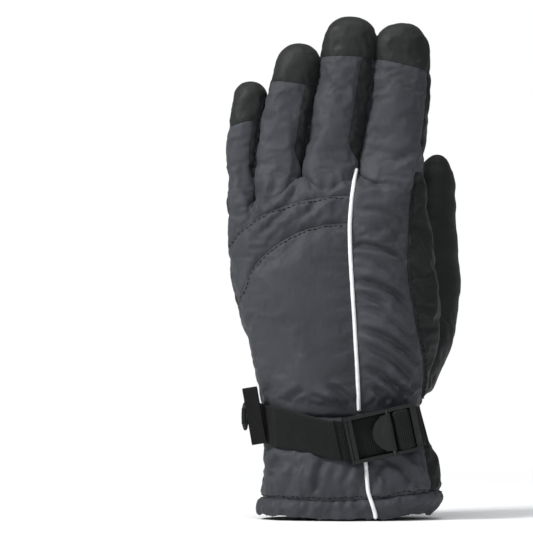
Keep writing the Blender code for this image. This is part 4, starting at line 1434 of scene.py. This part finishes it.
def make_ring(materials):
    centre = joint_place("clip_ring_swivel")
    turn = math.radians(RING_REST_TURN)
    corner = [(0.0, z) for z in (4.2, 0.0, -4.2)]
    angles = np.radians(np.linspace(-104, -256, 17))
    bow = [(RING_HALF * 1.08 * math.cos(a), RING_HALF * math.sin(a)) for a in angles]
    outline = [
        (x * math.cos(turn) + centre[0], x * math.sin(turn) + centre[1], z + centre[2])
        for x, z in corner + bow
    ]
    outline = outline + outline[:3]
    path, _ = resample(outline, 0.7)
    path = path[:-1]
    first = np.argmin(np.linalg.norm(path[-12:] - path[2], axis=1)) + len(path) - 12
    path = path[2:first]
    mesh = tube_mesh("clip_ring_moulding", path, RING_WIRE, 12, True)
    ring = add_object("clip_ring_moulding", mesh, materials["plastic"])
    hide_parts("clip_ring")
    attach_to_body(ring, "ring")

    loop = RING_WIRE + 0.85
    seam = hand_ring(centre[2], 1.6, np.radians([172]))[0]
    seam[1] = centre[1] + loop
    angles = np.radians(np.linspace(90, 270, 9))
    turned = [centre + loop * np.array([math.cos(a), math.sin(a), 0]) for a in angles]
    path = np.array([seam, *turned, seam - np.array([0, 2 * loop, 0])])
    up = np.array([0, 0, 4.5])
    mesh = webbing_mesh("ring_webbing", path - up, path + up, 0.85)
    tab = outward(add_object("ring_webbing", mesh, materials["webbing"]))
    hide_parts("ring_tab")
    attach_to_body(tab, "hand")


def make_label(materials):
    """A blank woven label, folded once, with its loose edge out of the little-finger seam."""
    low, high = (np.array(c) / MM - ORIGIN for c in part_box("side_label"))
    middle = (low + high) / 2 + np.array([0.8, 0, 0])
    lean, turn = math.radians(-10), math.radians(-32)
    axes = np.array(Matrix.Rotation(lean, 3, "Y") @ Matrix.Rotation(turn, 3, "Z"))
    across, up = axes[:, 0], np.array(Matrix.Rotation(lean, 3, "Y"))[:, 2]
    stops = [(-5.0, 0.55), (-2.5, 0.15), (0.0, 0.0), (2.5, 0.2), (4.6, 0.6)]
    out = np.cross(across, up)
    path = np.array([middle + across * s + out * bend for s, bend in stops])
    mesh = webbing_mesh("label_weave", path - up * 16, path + up * 16, 0.7, 0.3, 0.6, 0.02)
    label = outward(add_object("label_weave", mesh, materials["label"]))
    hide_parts("side_label")
    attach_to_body(label, "hand")


def make_elastic(materials):
    """The shirred elastic band inside the wrist, along the palm side."""
    angles = np.radians(np.linspace(14, 166, 120))
    low, high = hand_ring(51.4, 3.1, angles), hand_ring(62.6, 3.1, angles)
    mesh = webbing_mesh("shirred_elastic", low, high, 0.7, 0.5, 2.2, 0.12)
    band = outward(add_object("shirred_elastic", mesh, materials["elastic"]))
    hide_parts("wrist_elastic")
    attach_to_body(band, "hand")


# ---------------------------------------------------------------- piping and stitching


def skin_tree(skin):
    return BVHTree.FromPolygons([Vector(p) for p in skin.shape], [tuple(t) for t in skin.triangles()])


def make_piping(skin, materials):
    """Reflective piping, a soft cord under cloth, down the back and the cuff."""
    tree = skin_tree(skin)
    for node, top, bottom in (("back_piping", 195.5, 60.5), ("cuff_piping", 33.8, 1.2)):
        path = []
        for z in np.linspace(top, bottom, int((top - bottom) / 1.6)):
            x = smooth_table(PIPING_LINE, 1, np.array([z]), 6)[0]
            hit = tree.ray_cast(Vector((x, -70, z)), Vector((0, 1, 0)))[0]
            if hit is not None:
                path.append(np.array(hit) - np.array([0, 0.3, 0]))
        path = np.array(path)
        path[:, 1] = np.minimum(path[:, 1], smoothed_line(path[:, 1], 5))
        path, stops = resample(path, 0.8)
        radius = 1.42 + 0.05 * noise_along(stops, 5, 61)
        fade = np.minimum(np.minimum(stops, stops[-1] - stops) / 1.2 + 0.35, 1)
        name = node.replace("_piping", "_reflective_piping")
        mesh = tube_mesh(name, path, radius * fade, 12, flatten=0.8, ups=np.array([1.0, 0, 0]))
        cord = add_object(name, mesh, materials["piping"])
        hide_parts(node)
        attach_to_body(cord, "hand")


def seam_chain(skin, names, first, second):
    """The seam between two pieces, as places and normals in order."""
    edges = {}
    for index in np.flatnonzero((names == first) | (names == second)):
        face = skin.faces[index]
        for k, a in enumerate(face):
            b = face[(k + 1) % len(face)]
            edges.setdefault((a, b) if a < b else (b, a), set()).add(names[index])
    links = {}
    for (a, b), sides in edges.items():
        if len(sides) == 2:
            links.setdefault(a, []).append(b)
            links.setdefault(b, []).append(a)
    chains, seen = [], set()
    for start in sorted(links, key=lambda i: (len(links[i]), i)):
        if start in seen:
            continue
        chain, here = [start], start
        seen.add(start)
        while True:
            ahead = [i for i in links[here] if i not in seen]
            if not ahead:
                break
            here = ahead[0]
            seen.add(here)
            chain.append(here)
        chains.append(chain)
    return [c for c in chains if len(c) > 8]


STITCH_LENGTH = 2.3
STITCH_GAP = 0.7


def stitch_rows(skin, names, tree, rows):
    """Points and faces of the stitches beside some seams. Each row: first piece, second piece, offset."""
    points, faces = [], []
    for first, second, offset in rows:
        for chain in seam_chain(skin, names, first, second):
            rest_side = np.array([skin.shape[i] for i in chain])
            normal = np.array([skin.normals[i] for i in chain])
            both, stops = resample(np.concatenate([rest_side, normal], 1)[::3], 0.5)
            path, normal = both[:, :3], both[:, 3:]
            path = np.stack([smoothed_line(path[:, k], 3) for k in range(3)], 1)
            across = np.cross(along_path(path), normal)
            across /= np.linalg.norm(across, axis=1)[:, None]
            toward = side_of(skin, chain, first, across[len(across) // 2], path[len(path) // 2])
            path = path + across * offset * toward
            start = 1.5
            while start + STITCH_LENGTH < stops[-1] - 1.0:
                inside = np.linspace(start, start + STITCH_LENGTH, 5)
                ring = np.stack([np.interp(inside, stops, path[:, k]) for k in range(3)], 1)
                out = np.stack([np.interp(inside, stops, normal[:, k]) for k in range(3)], 1)
                settled = []
                for p, n in zip(ring, out):
                    near = tree.find_nearest(Vector(p))
                    settled.append(np.array(near[0]) if near[0] is not None else p)
                lift = np.array([-0.12, 0.16, 0.22, 0.16, -0.12])
                ring = np.array(settled) + out * lift[:, None]
                add_stitch(points, faces, ring, out)
                start += STITCH_LENGTH + STITCH_GAP
    return points, faces


def side_of(skin, chain, piece, across, place):
    """1 or -1: which way across the seam the named piece lies."""
    centre = skin.centre_of[piece]
    gap = centre - skin.shape[chain]
    nearest = gap[np.argmin(np.linalg.norm(skin.shape[chain] - place, axis=1))]
    return 1.0 if nearest @ across > 0 else -1.0


def add_stitch(points, faces, path, normals):
    tangent = along_path(path)
    side = np.cross(tangent, normals)
    side /= np.linalg.norm(side, axis=1)[:, None]
    base = len(points)
    radii = (0.16, 0.26, 0.28, 0.26, 0.16)
    sides = 6
    for p, s, n, r in zip(path, side, normals, radii):
        for k in range(sides):
            a = 2 * math.pi * k / sides
            points.append(p + s * math.cos(a) * r + n * math.sin(a) * r)
    for row in range(len(path) - 1):
        for k in range(sides):
            j = (k + 1) % sides
            faces.append((base + row * sides + k, base + row * sides + j,
                          base + (row + 1) * sides + j, base + (row + 1) * sides + k))
    faces.append(tuple(base + k for k in reversed(range(sides))))
    faces.append(tuple(base + (len(path) - 1) * sides + k for k in range(sides)))


# ---------------------------------------------------------------- materials


class Finish:
    """A procedural material, worked out from the place in the object in millimetres."""

    def __init__(self, name, roughness, **settings):
        self.material = bpy.data.materials.new(name)
        self.material.use_nodes = True
        self.tree = self.material.node_tree
        self.shader = self.tree.nodes["Principled BSDF"]
        self.shader.inputs["Roughness"].default_value = roughness
        for key, value in settings.items():
            self.shader.inputs[key.replace("_", " ")].default_value = value
        coordinates = self.tree.nodes.new("ShaderNodeTexCoord")
        scale = self.tree.nodes.new("ShaderNodeVectorMath")
        scale.operation = "SCALE"
        scale.inputs["Scale"].default_value = 1 / MM
        self.tree.links.new(coordinates.outputs["Object"], scale.inputs[0])
        self.place = scale.outputs[0]
        split = self.tree.nodes.new("ShaderNodeSeparateXYZ")
        self.tree.links.new(self.place, split.inputs[0])
        self.x, self.y, self.z = split.outputs

    def set(self, socket, value):
        if isinstance(value, bpy.types.NodeSocket):
            self.tree.links.new(value, socket)
        else:
            socket.default_value = value

    def math(self, operation, a, b=0.0):
        node = self.tree.nodes.new("ShaderNodeMath")
        node.operation = operation
        self.set(node.inputs[0], a)
        self.set(node.inputs[1], b)
        return node.outputs[0]

    def texture(self, kind, scale):
        """A texture node, laid over the place in millimetres times this scale."""
        mapping = self.tree.nodes.new("ShaderNodeMapping")
        mapping.inputs["Scale"].default_value = scale
        self.tree.links.new(self.place, mapping.inputs["Vector"])
        node = self.tree.nodes.new(kind)
        node.inputs["Scale"].default_value = 1.0
        self.tree.links.new(mapping.outputs[0], node.inputs["Vector"])
        return node

    def noise(self, size, detail=2.0, stretch=(1, 1, 1)):
        """Noise from 0 to 1 with features about this many millimetres across."""
        node = self.texture("ShaderNodeTexNoise", [k / size for k in stretch])
        node.inputs["Detail"].default_value = detail
        return node.outputs["Fac"]

    def cells(self, size):
        return self.texture("ShaderNodeTexVoronoi", [1 / size] * 3).outputs["Distance"]

    def waves(self, value, length):
        """A wave from -1 to 1 along a coordinate."""
        return self.math("SINE", self.math("MULTIPLY", value, 2 * math.pi / length))

    def weave(self, length):
        """Threads that cross, up the glove and round it."""
        around = self.math("ADD", self.x, self.y)
        weft = self.waves(self.z, length)
        warp = self.waves(around, length)
        return self.math("MULTIPLY", weft, warp)

    def ramp(self, value, *stops):
        node = self.tree.nodes.new("ShaderNodeValToRGB")
        self.tree.links.new(value, node.inputs["Fac"])
        ramp = node.color_ramp
        while len(ramp.elements) < len(stops):
            ramp.elements.new(0.5)
        for element, (place, colour) in zip(ramp.elements, stops):
            element.position = place
            element.color = (*colour, 1)
        return node.outputs["Color"]

    def spread(self, value, low, high, out_low, out_high):
        node = self.tree.nodes.new("ShaderNodeMapRange")
        self.tree.links.new(value, node.inputs["Value"])
        for key, number in zip(("From Min", "From Max", "To Min", "To Max"), (low, high, out_low, out_high)):
            node.inputs[key].default_value = number
        return node.outputs["Result"]

    def colour(self, value):
        self.tree.links.new(value, self.shader.inputs["Base Color"])
        return self

    def rough(self, value):
        self.tree.links.new(value, self.shader.inputs["Roughness"])
        return self

    def bumps(self, *layers):
        """Bump layers, each a height and how many millimetres its full range is."""
        normal = None
        for height, depth in layers:
            node = self.tree.nodes.new("ShaderNodeBump")
            node.inputs["Strength"].default_value = 1.0
            node.inputs["Distance"].default_value = depth * MM
            self.tree.links.new(height, node.inputs["Height"])
            if normal:
                self.tree.links.new(normal, node.inputs["Normal"])
            normal = node.outputs["Normal"]
        self.tree.links.new(normal, self.shader.inputs["Normal"])
        return self


def linear(*rgb):
    """A colour given as 0 to 255 in sRGB."""
    return tuple(((c / 255 + 0.055) / 1.055) ** 2.4 if c > 10 else c / 255 / 12.92 for c in rgb)


def nylon(name, light, dark, sheen=0.06):
    """Dull woven nylon: fine crossed threads, slubs along them, and a patchy tone."""
    f = Finish(name, 0.62, Sheen_Weight=sheen, Sheen_Roughness=0.45, Specular_IOR_Level=0.22)
    patches = f.noise(34, 3.0)
    slubs = f.noise(1.6, 2.0, (1, 1, 0.22))
    mixed = f.math("ADD", f.math("MULTIPLY", patches, 0.6), f.math("MULTIPLY", slubs, 0.4))
    f.colour(f.ramp(mixed, (0.34, dark), (0.66, light)))
    f.rough(f.spread(slubs, 0.3, 0.7, 0.54, 0.7))
    return f.bumps((f.weave(0.62), 0.02), (f.noise(3.2, 3.0), 0.22), (slubs, 0.05)).material


def coated(name, light, dark):
    """Coated knit with a fine pebble grain, as on the palm and thumb."""
    f = Finish(name, 0.56, Sheen_Weight=0.03, Sheen_Roughness=0.5, Specular_IOR_Level=0.18)
    patches = f.noise(22, 3.0)
    f.colour(f.ramp(patches, (0.32, dark), (0.68, light)))
    f.rough(f.spread(f.noise(5, 2.0), 0.3, 0.7, 0.48, 0.66))
    return f.bumps((f.cells(0.55), 0.07), (f.noise(2.4, 3.0), 0.16)).material


def plain_cloth(name, light, dark, weave=0.9, depth=0.05):
    """Loose inner cloth: soft, matt and a little uneven."""
    f = Finish(name, 0.85, Sheen_Weight=0.3, Sheen_Roughness=0.6)
    f.colour(f.ramp(f.noise(9, 3.0), (0.3, dark), (0.7, light)))
    return f.bumps((f.weave(weave), depth), (f.noise(4, 2.0), 0.3)).material


def webbing_finish():
    """Polyester webbing: close ribs across it, each made of fine slanting threads."""
    f = Finish("black_webbing", 0.6, Sheen_Weight=0.02, Sheen_Roughness=0.4, Specular_IOR_Level=0.15)
    threads = f.waves(f.math("ADD", f.z, f.math("MULTIPLY", f.x, 0.5)), 0.8)
    dusty = f.noise(6, 3.0)
    f.colour(f.ramp(dusty, (0.3, linear(12, 14, 13)), (0.7, linear(20, 22, 21))))
    f.rough(f.spread(dusty, 0.3, 0.7, 0.5, 0.68))
    return f.bumps((threads, 0.05), (f.noise(0.5, 2.0), 0.05)).material


def plastic_finish():
    """Moulded acetal: a fine spark-eroded grain and a slight gloss, lighter where it is rubbed."""
    f = Finish("moulded_plastic", 0.5, Specular_IOR_Level=0.2)
    scuffs = f.noise(2.2, 4.0, (1, 1, 0.4))
    tones = ((0.35, linear(20, 22, 22)), (0.62, linear(26, 28, 28)), (0.8, linear(40, 42, 42)))
    f.colour(f.ramp(scuffs, *tones))
    f.rough(f.spread(scuffs, 0.3, 0.75, 0.44, 0.58))
    return f.bumps((f.noise(0.28, 2.0), 0.018), (scuffs, 0.015)).material


def piping_finish():
    """Reflective tape: pale silver with a fine mesh of beads."""
    f = Finish("reflective_piping", 0.4, Specular_IOR_Level=0.6, Metallic=0.0)
    f.colour(f.ramp(f.noise(5, 3.0), (0.3, (0.66, 0.66, 0.67)), (0.7, (0.78, 0.78, 0.79))))
    f.rough(f.spread(f.noise(1.2, 2.0), 0.3, 0.7, 0.32, 0.5))
    return f.bumps((f.cells(0.35), 0.03)).material


def steel_finish():
    f = Finish("blackened_steel", 0.45, Metallic=1.0)
    f.colour(f.ramp(f.noise(3, 3.0), (0.3, (0.05, 0.05, 0.052)), (0.7, (0.08, 0.08, 0.082))))
    return f.bumps((f.noise(0.5, 2.0, (1, 1, 0.1)), 0.01)).material


def label_finish():
    """Blank satin-woven label."""
    f = Finish("woven_label", 0.6, Specular_IOR_Level=0.12)
    f.colour(f.ramp(f.noise(3, 2.0), (0.3, linear(8, 8, 9)), (0.7, linear(15, 15, 16))))
    return f.bumps((f.weave(0.7), 0.03), (f.noise(2, 2.0), 0.05)).material


def thread_finish(name, colour):
    f = Finish(name, 0.6, Specular_IOR_Level=0.15)
    f.colour(f.ramp(f.noise(2, 2.0), (0.3, [c * 0.8 for c in colour]), (0.7, colour)))
    twist = f.waves(f.math("ADD", f.math("ADD", f.x, f.y), f.z), 0.5)
    return f.bumps((twist, 0.04)).material


def make_materials():
    return {
        "grey": nylon("grey_nylon", linear(54, 56, 61), linear(43, 45, 49)),
        "black": coated("black_coated_knit", linear(24, 26, 26), linear(17, 19, 19)),
        "cap": coated("fingertip_knit", linear(30, 31, 31), linear(22, 24, 23)),
        "floor": floor_material(),
        "wadding": plain_cloth("wadding", linear(44, 46, 48), linear(32, 34, 36), 1.8, 0.2),
        "lining": plain_cloth("lining", linear(52, 54, 56), linear(38, 40, 42)),
        "elastic": plain_cloth("elastic", linear(46, 46, 47), linear(34, 34, 35), 0.8, 0.12),
        "webbing": webbing_finish(),
        "plastic": plastic_finish(),
        "piping": piping_finish(),
        "steel": steel_finish(),
        "label": label_finish(),
        "dark_thread": thread_finish("dark_thread", linear(20, 21, 22)),
    }


def floor_material():
    """Pale paper under the glove, which fades into plain white around it."""
    f = Finish("studio_paper", 0.9)
    f.colour(f.ramp(f.noise(400, 2.0), (0.3, (0.86, 0.86, 0.87)), (0.7, (0.9, 0.9, 0.9))))
    material = f.bumps((f.noise(1.5, 2.0), 0.02)).material
    nodes, links = material.node_tree.nodes, material.node_tree.links
    paper = next(n for n in nodes if n.type == "BSDF_PRINCIPLED").outputs[0]
    output = next(n for n in nodes if n.type == "OUTPUT_MATERIAL")
    distance = nodes.new("ShaderNodeVectorMath")
    distance.operation = "LENGTH"
    links.new(nodes.new("ShaderNodeNewGeometry").outputs["Position"], distance.inputs[0])
    away = nodes.new("ShaderNodeMapRange")
    away.inputs["From Min"].default_value = 0.12
    away.inputs["From Max"].default_value = 0.7
    away.interpolation_type = "SMOOTHSTEP"
    links.new(distance.outputs["Value"], away.inputs["Value"])
    white = nodes.new("ShaderNodeEmission")
    seen = nodes.new("ShaderNodeMath")
    seen.operation = "MULTIPLY"
    links.new(nodes.new("ShaderNodeLightPath").outputs["Is Camera Ray"], seen.inputs[0])
    links.new(away.outputs["Result"], seen.inputs[1])
    fade = nodes.new("ShaderNodeMixShader")
    links.new(seen.outputs[0], fade.inputs[0])
    links.new(paper, fade.inputs[1])
    links.new(white.outputs[0], fade.inputs[2])
    links.new(fade.outputs[0], output.inputs["Surface"])
    return material


# ---------------------------------------------------------------- the glove's skin


def material_of(name, materials):
    slot = slot_of(name)
    if slot == "fingertip":
        return materials["cap"]
    if slot == "grey_shell":
        return materials["grey"]
    return materials["black"]


def make_outer(materials):
    parts = [hand_loft(SLIM), thumb_loft(SLIM)] + [finger_loft(name, SLIM) for name in NAMES]
    skin = Skin(parts, VOXEL, 6)
    skin.push_out(SLIM)
    for name, zone_of in CUTS:
        skin.split(name, zone_of)
    skin.renew_normals()
    swell(skin, parts)
    shape_cloth(skin)
    lift_hem(skin)
    skin.renew_normals()
    f = fields_of(skin.rest)
    skin.hidden = np.zeros(len(skin.rest), bool)
    for name in SOFT_EDGES:
        skin.hidden |= np.abs(f[name]) < 0.2
    centres = skin.centres()
    names = names_of(fields_of(centres))
    names[centres[:, 2] < 0.7] = "opening"
    for name in sorted(set(names) - {"opening"}):
        thickness = HEM_SHELL if name == "cuff_hem" else SHELL
        chosen = np.flatnonzero(names == name)
        make_piece(name, skin, chosen, material_of(name, materials), thickness)
    skin.centre_of = {name: skin.shape_centre(np.flatnonzero(names == name)) for name in set(names)}
    return skin, names


# Rows of top stitching: the piece that it lies on, the piece across the seam, and how far from the seam.
STITCH_ROWS = [
    ("back_panel", "back_band", 1.9), ("back_band", "knuckle_panel", 1.9),
    ("thumb_side_panel", "index_back_panel", 1.9), ("thumb_side_panel", "palm_panel", 1.9),
    ("palm_patch", "palm_panel", 1.7), ("palm_panel", "thumb_gusset", 1.9),
    ("cuff_hem", "cuff_back", 2.0), ("cuff_hem", "cuff_palm", 2.0),
]


def make_stitching(skin, names, materials):
    tree = skin_tree(skin)
    points, faces = stitch_rows(skin, names, tree, STITCH_ROWS)
    mesh = mesh_from("top_stitching", np.array(points), faces)
    mesh.shade_smooth()
    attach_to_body(outward(add_object("top_stitching", mesh, materials["dark_thread"])), "hand")


# ---------------------------------------------------------------- floor, light and camera


def make_stage(materials):
    """A wide pale floor."""
    points, faces = [], []
    stops = np.linspace(-6, 6, 5)
    for x in stops:
        points += [(x, y, 0.0) for y in stops]
    for i in range(4):
        for k in range(4):
            a = i * 5 + k
            faces.append((a, a + 5, a + 6, a + 1))
    mesh = bpy.data.meshes.new("studio_floor")
    mesh.from_pydata(points, [], faces)
    add_object("studio_floor", mesh, materials["floor"])


def make_light(name, place, size, power, target=(0, 0, 0.14)):
    data = bpy.data.lights.new(name, "AREA")
    data.shape = "RECTANGLE"
    data.size, data.size_y = size
    data.energy = power
    obj = bpy.data.objects.new(name, data)
    bpy.context.scene.collection.objects.link(obj)
    obj.location = place
    obj.rotation_euler = (Vector(target) - Vector(place)).to_track_quat("-Z", "Y").to_euler()


def make_studio(materials):
    bpy.context.scene.view_settings.view_transform = "Standard"
    make_stage(materials)
    make_light("key", (-1.6, -1.0, 1.6), (0.6, 0.6), 62)
    make_light("fill", (0.6, -2.2, 0.9), (1.0, 1.0), 8)
    make_light("top", (0.0, -0.3, 1.9), (1.2, 1.2), 18)
    world = bpy.data.worlds.new("studio")
    world.use_nodes = True
    nodes, links = world.node_tree.nodes, world.node_tree.links
    soft = nodes["Background"]
    soft.inputs["Color"].default_value = (0.95, 0.97, 1.0, 1)
    soft.inputs["Strength"].default_value = 0.3
    white = nodes.new("ShaderNodeBackground")
    white.inputs["Color"].default_value = (1, 1, 1, 1)
    white.inputs["Strength"].default_value = 1.0
    seen = nodes.new("ShaderNodeLightPath")
    either = nodes.new("ShaderNodeMixShader")
    links.new(seen.outputs["Is Camera Ray"], either.inputs[0])
    links.new(soft.outputs[0], either.inputs[1])
    links.new(white.outputs[0], either.inputs[2])
    links.new(either.outputs[0], nodes["World Output"].inputs["Surface"])
    bpy.context.scene.world = world


VIEW_CENTRE = (-0.0408, 0.0, 0.1408)
VIEW_WIDTH = 0.2985
VIEW_DISTANCE = 2.6


def make_camera():
    """A long lens, level with the middle of the glove's back."""
    data = bpy.data.cameras.new("camera")
    data.sensor_width = 36
    data.lens = 36 * VIEW_DISTANCE / VIEW_WIDTH
    obj = bpy.data.objects.new("camera", data)
    bpy.context.scene.collection.objects.link(obj)
    centre = Vector(VIEW_CENTRE)
    obj.location = centre + Vector((0, -VIEW_DISTANCE, 0))
    obj.rotation_euler = (math.radians(90), 0, 0)
    bpy.context.scene.camera = obj


def main():
    make_camera()
    materials = make_materials()
    skin, names = make_outer(materials)
    make_inner(materials)
    make_strap(materials)
    make_buckle(materials)
    make_ring(materials)
    make_label(materials)
    make_elastic(materials)
    make_piping(skin, materials)
    make_stitching(skin, names, materials)
    make_studio(materials)


main()
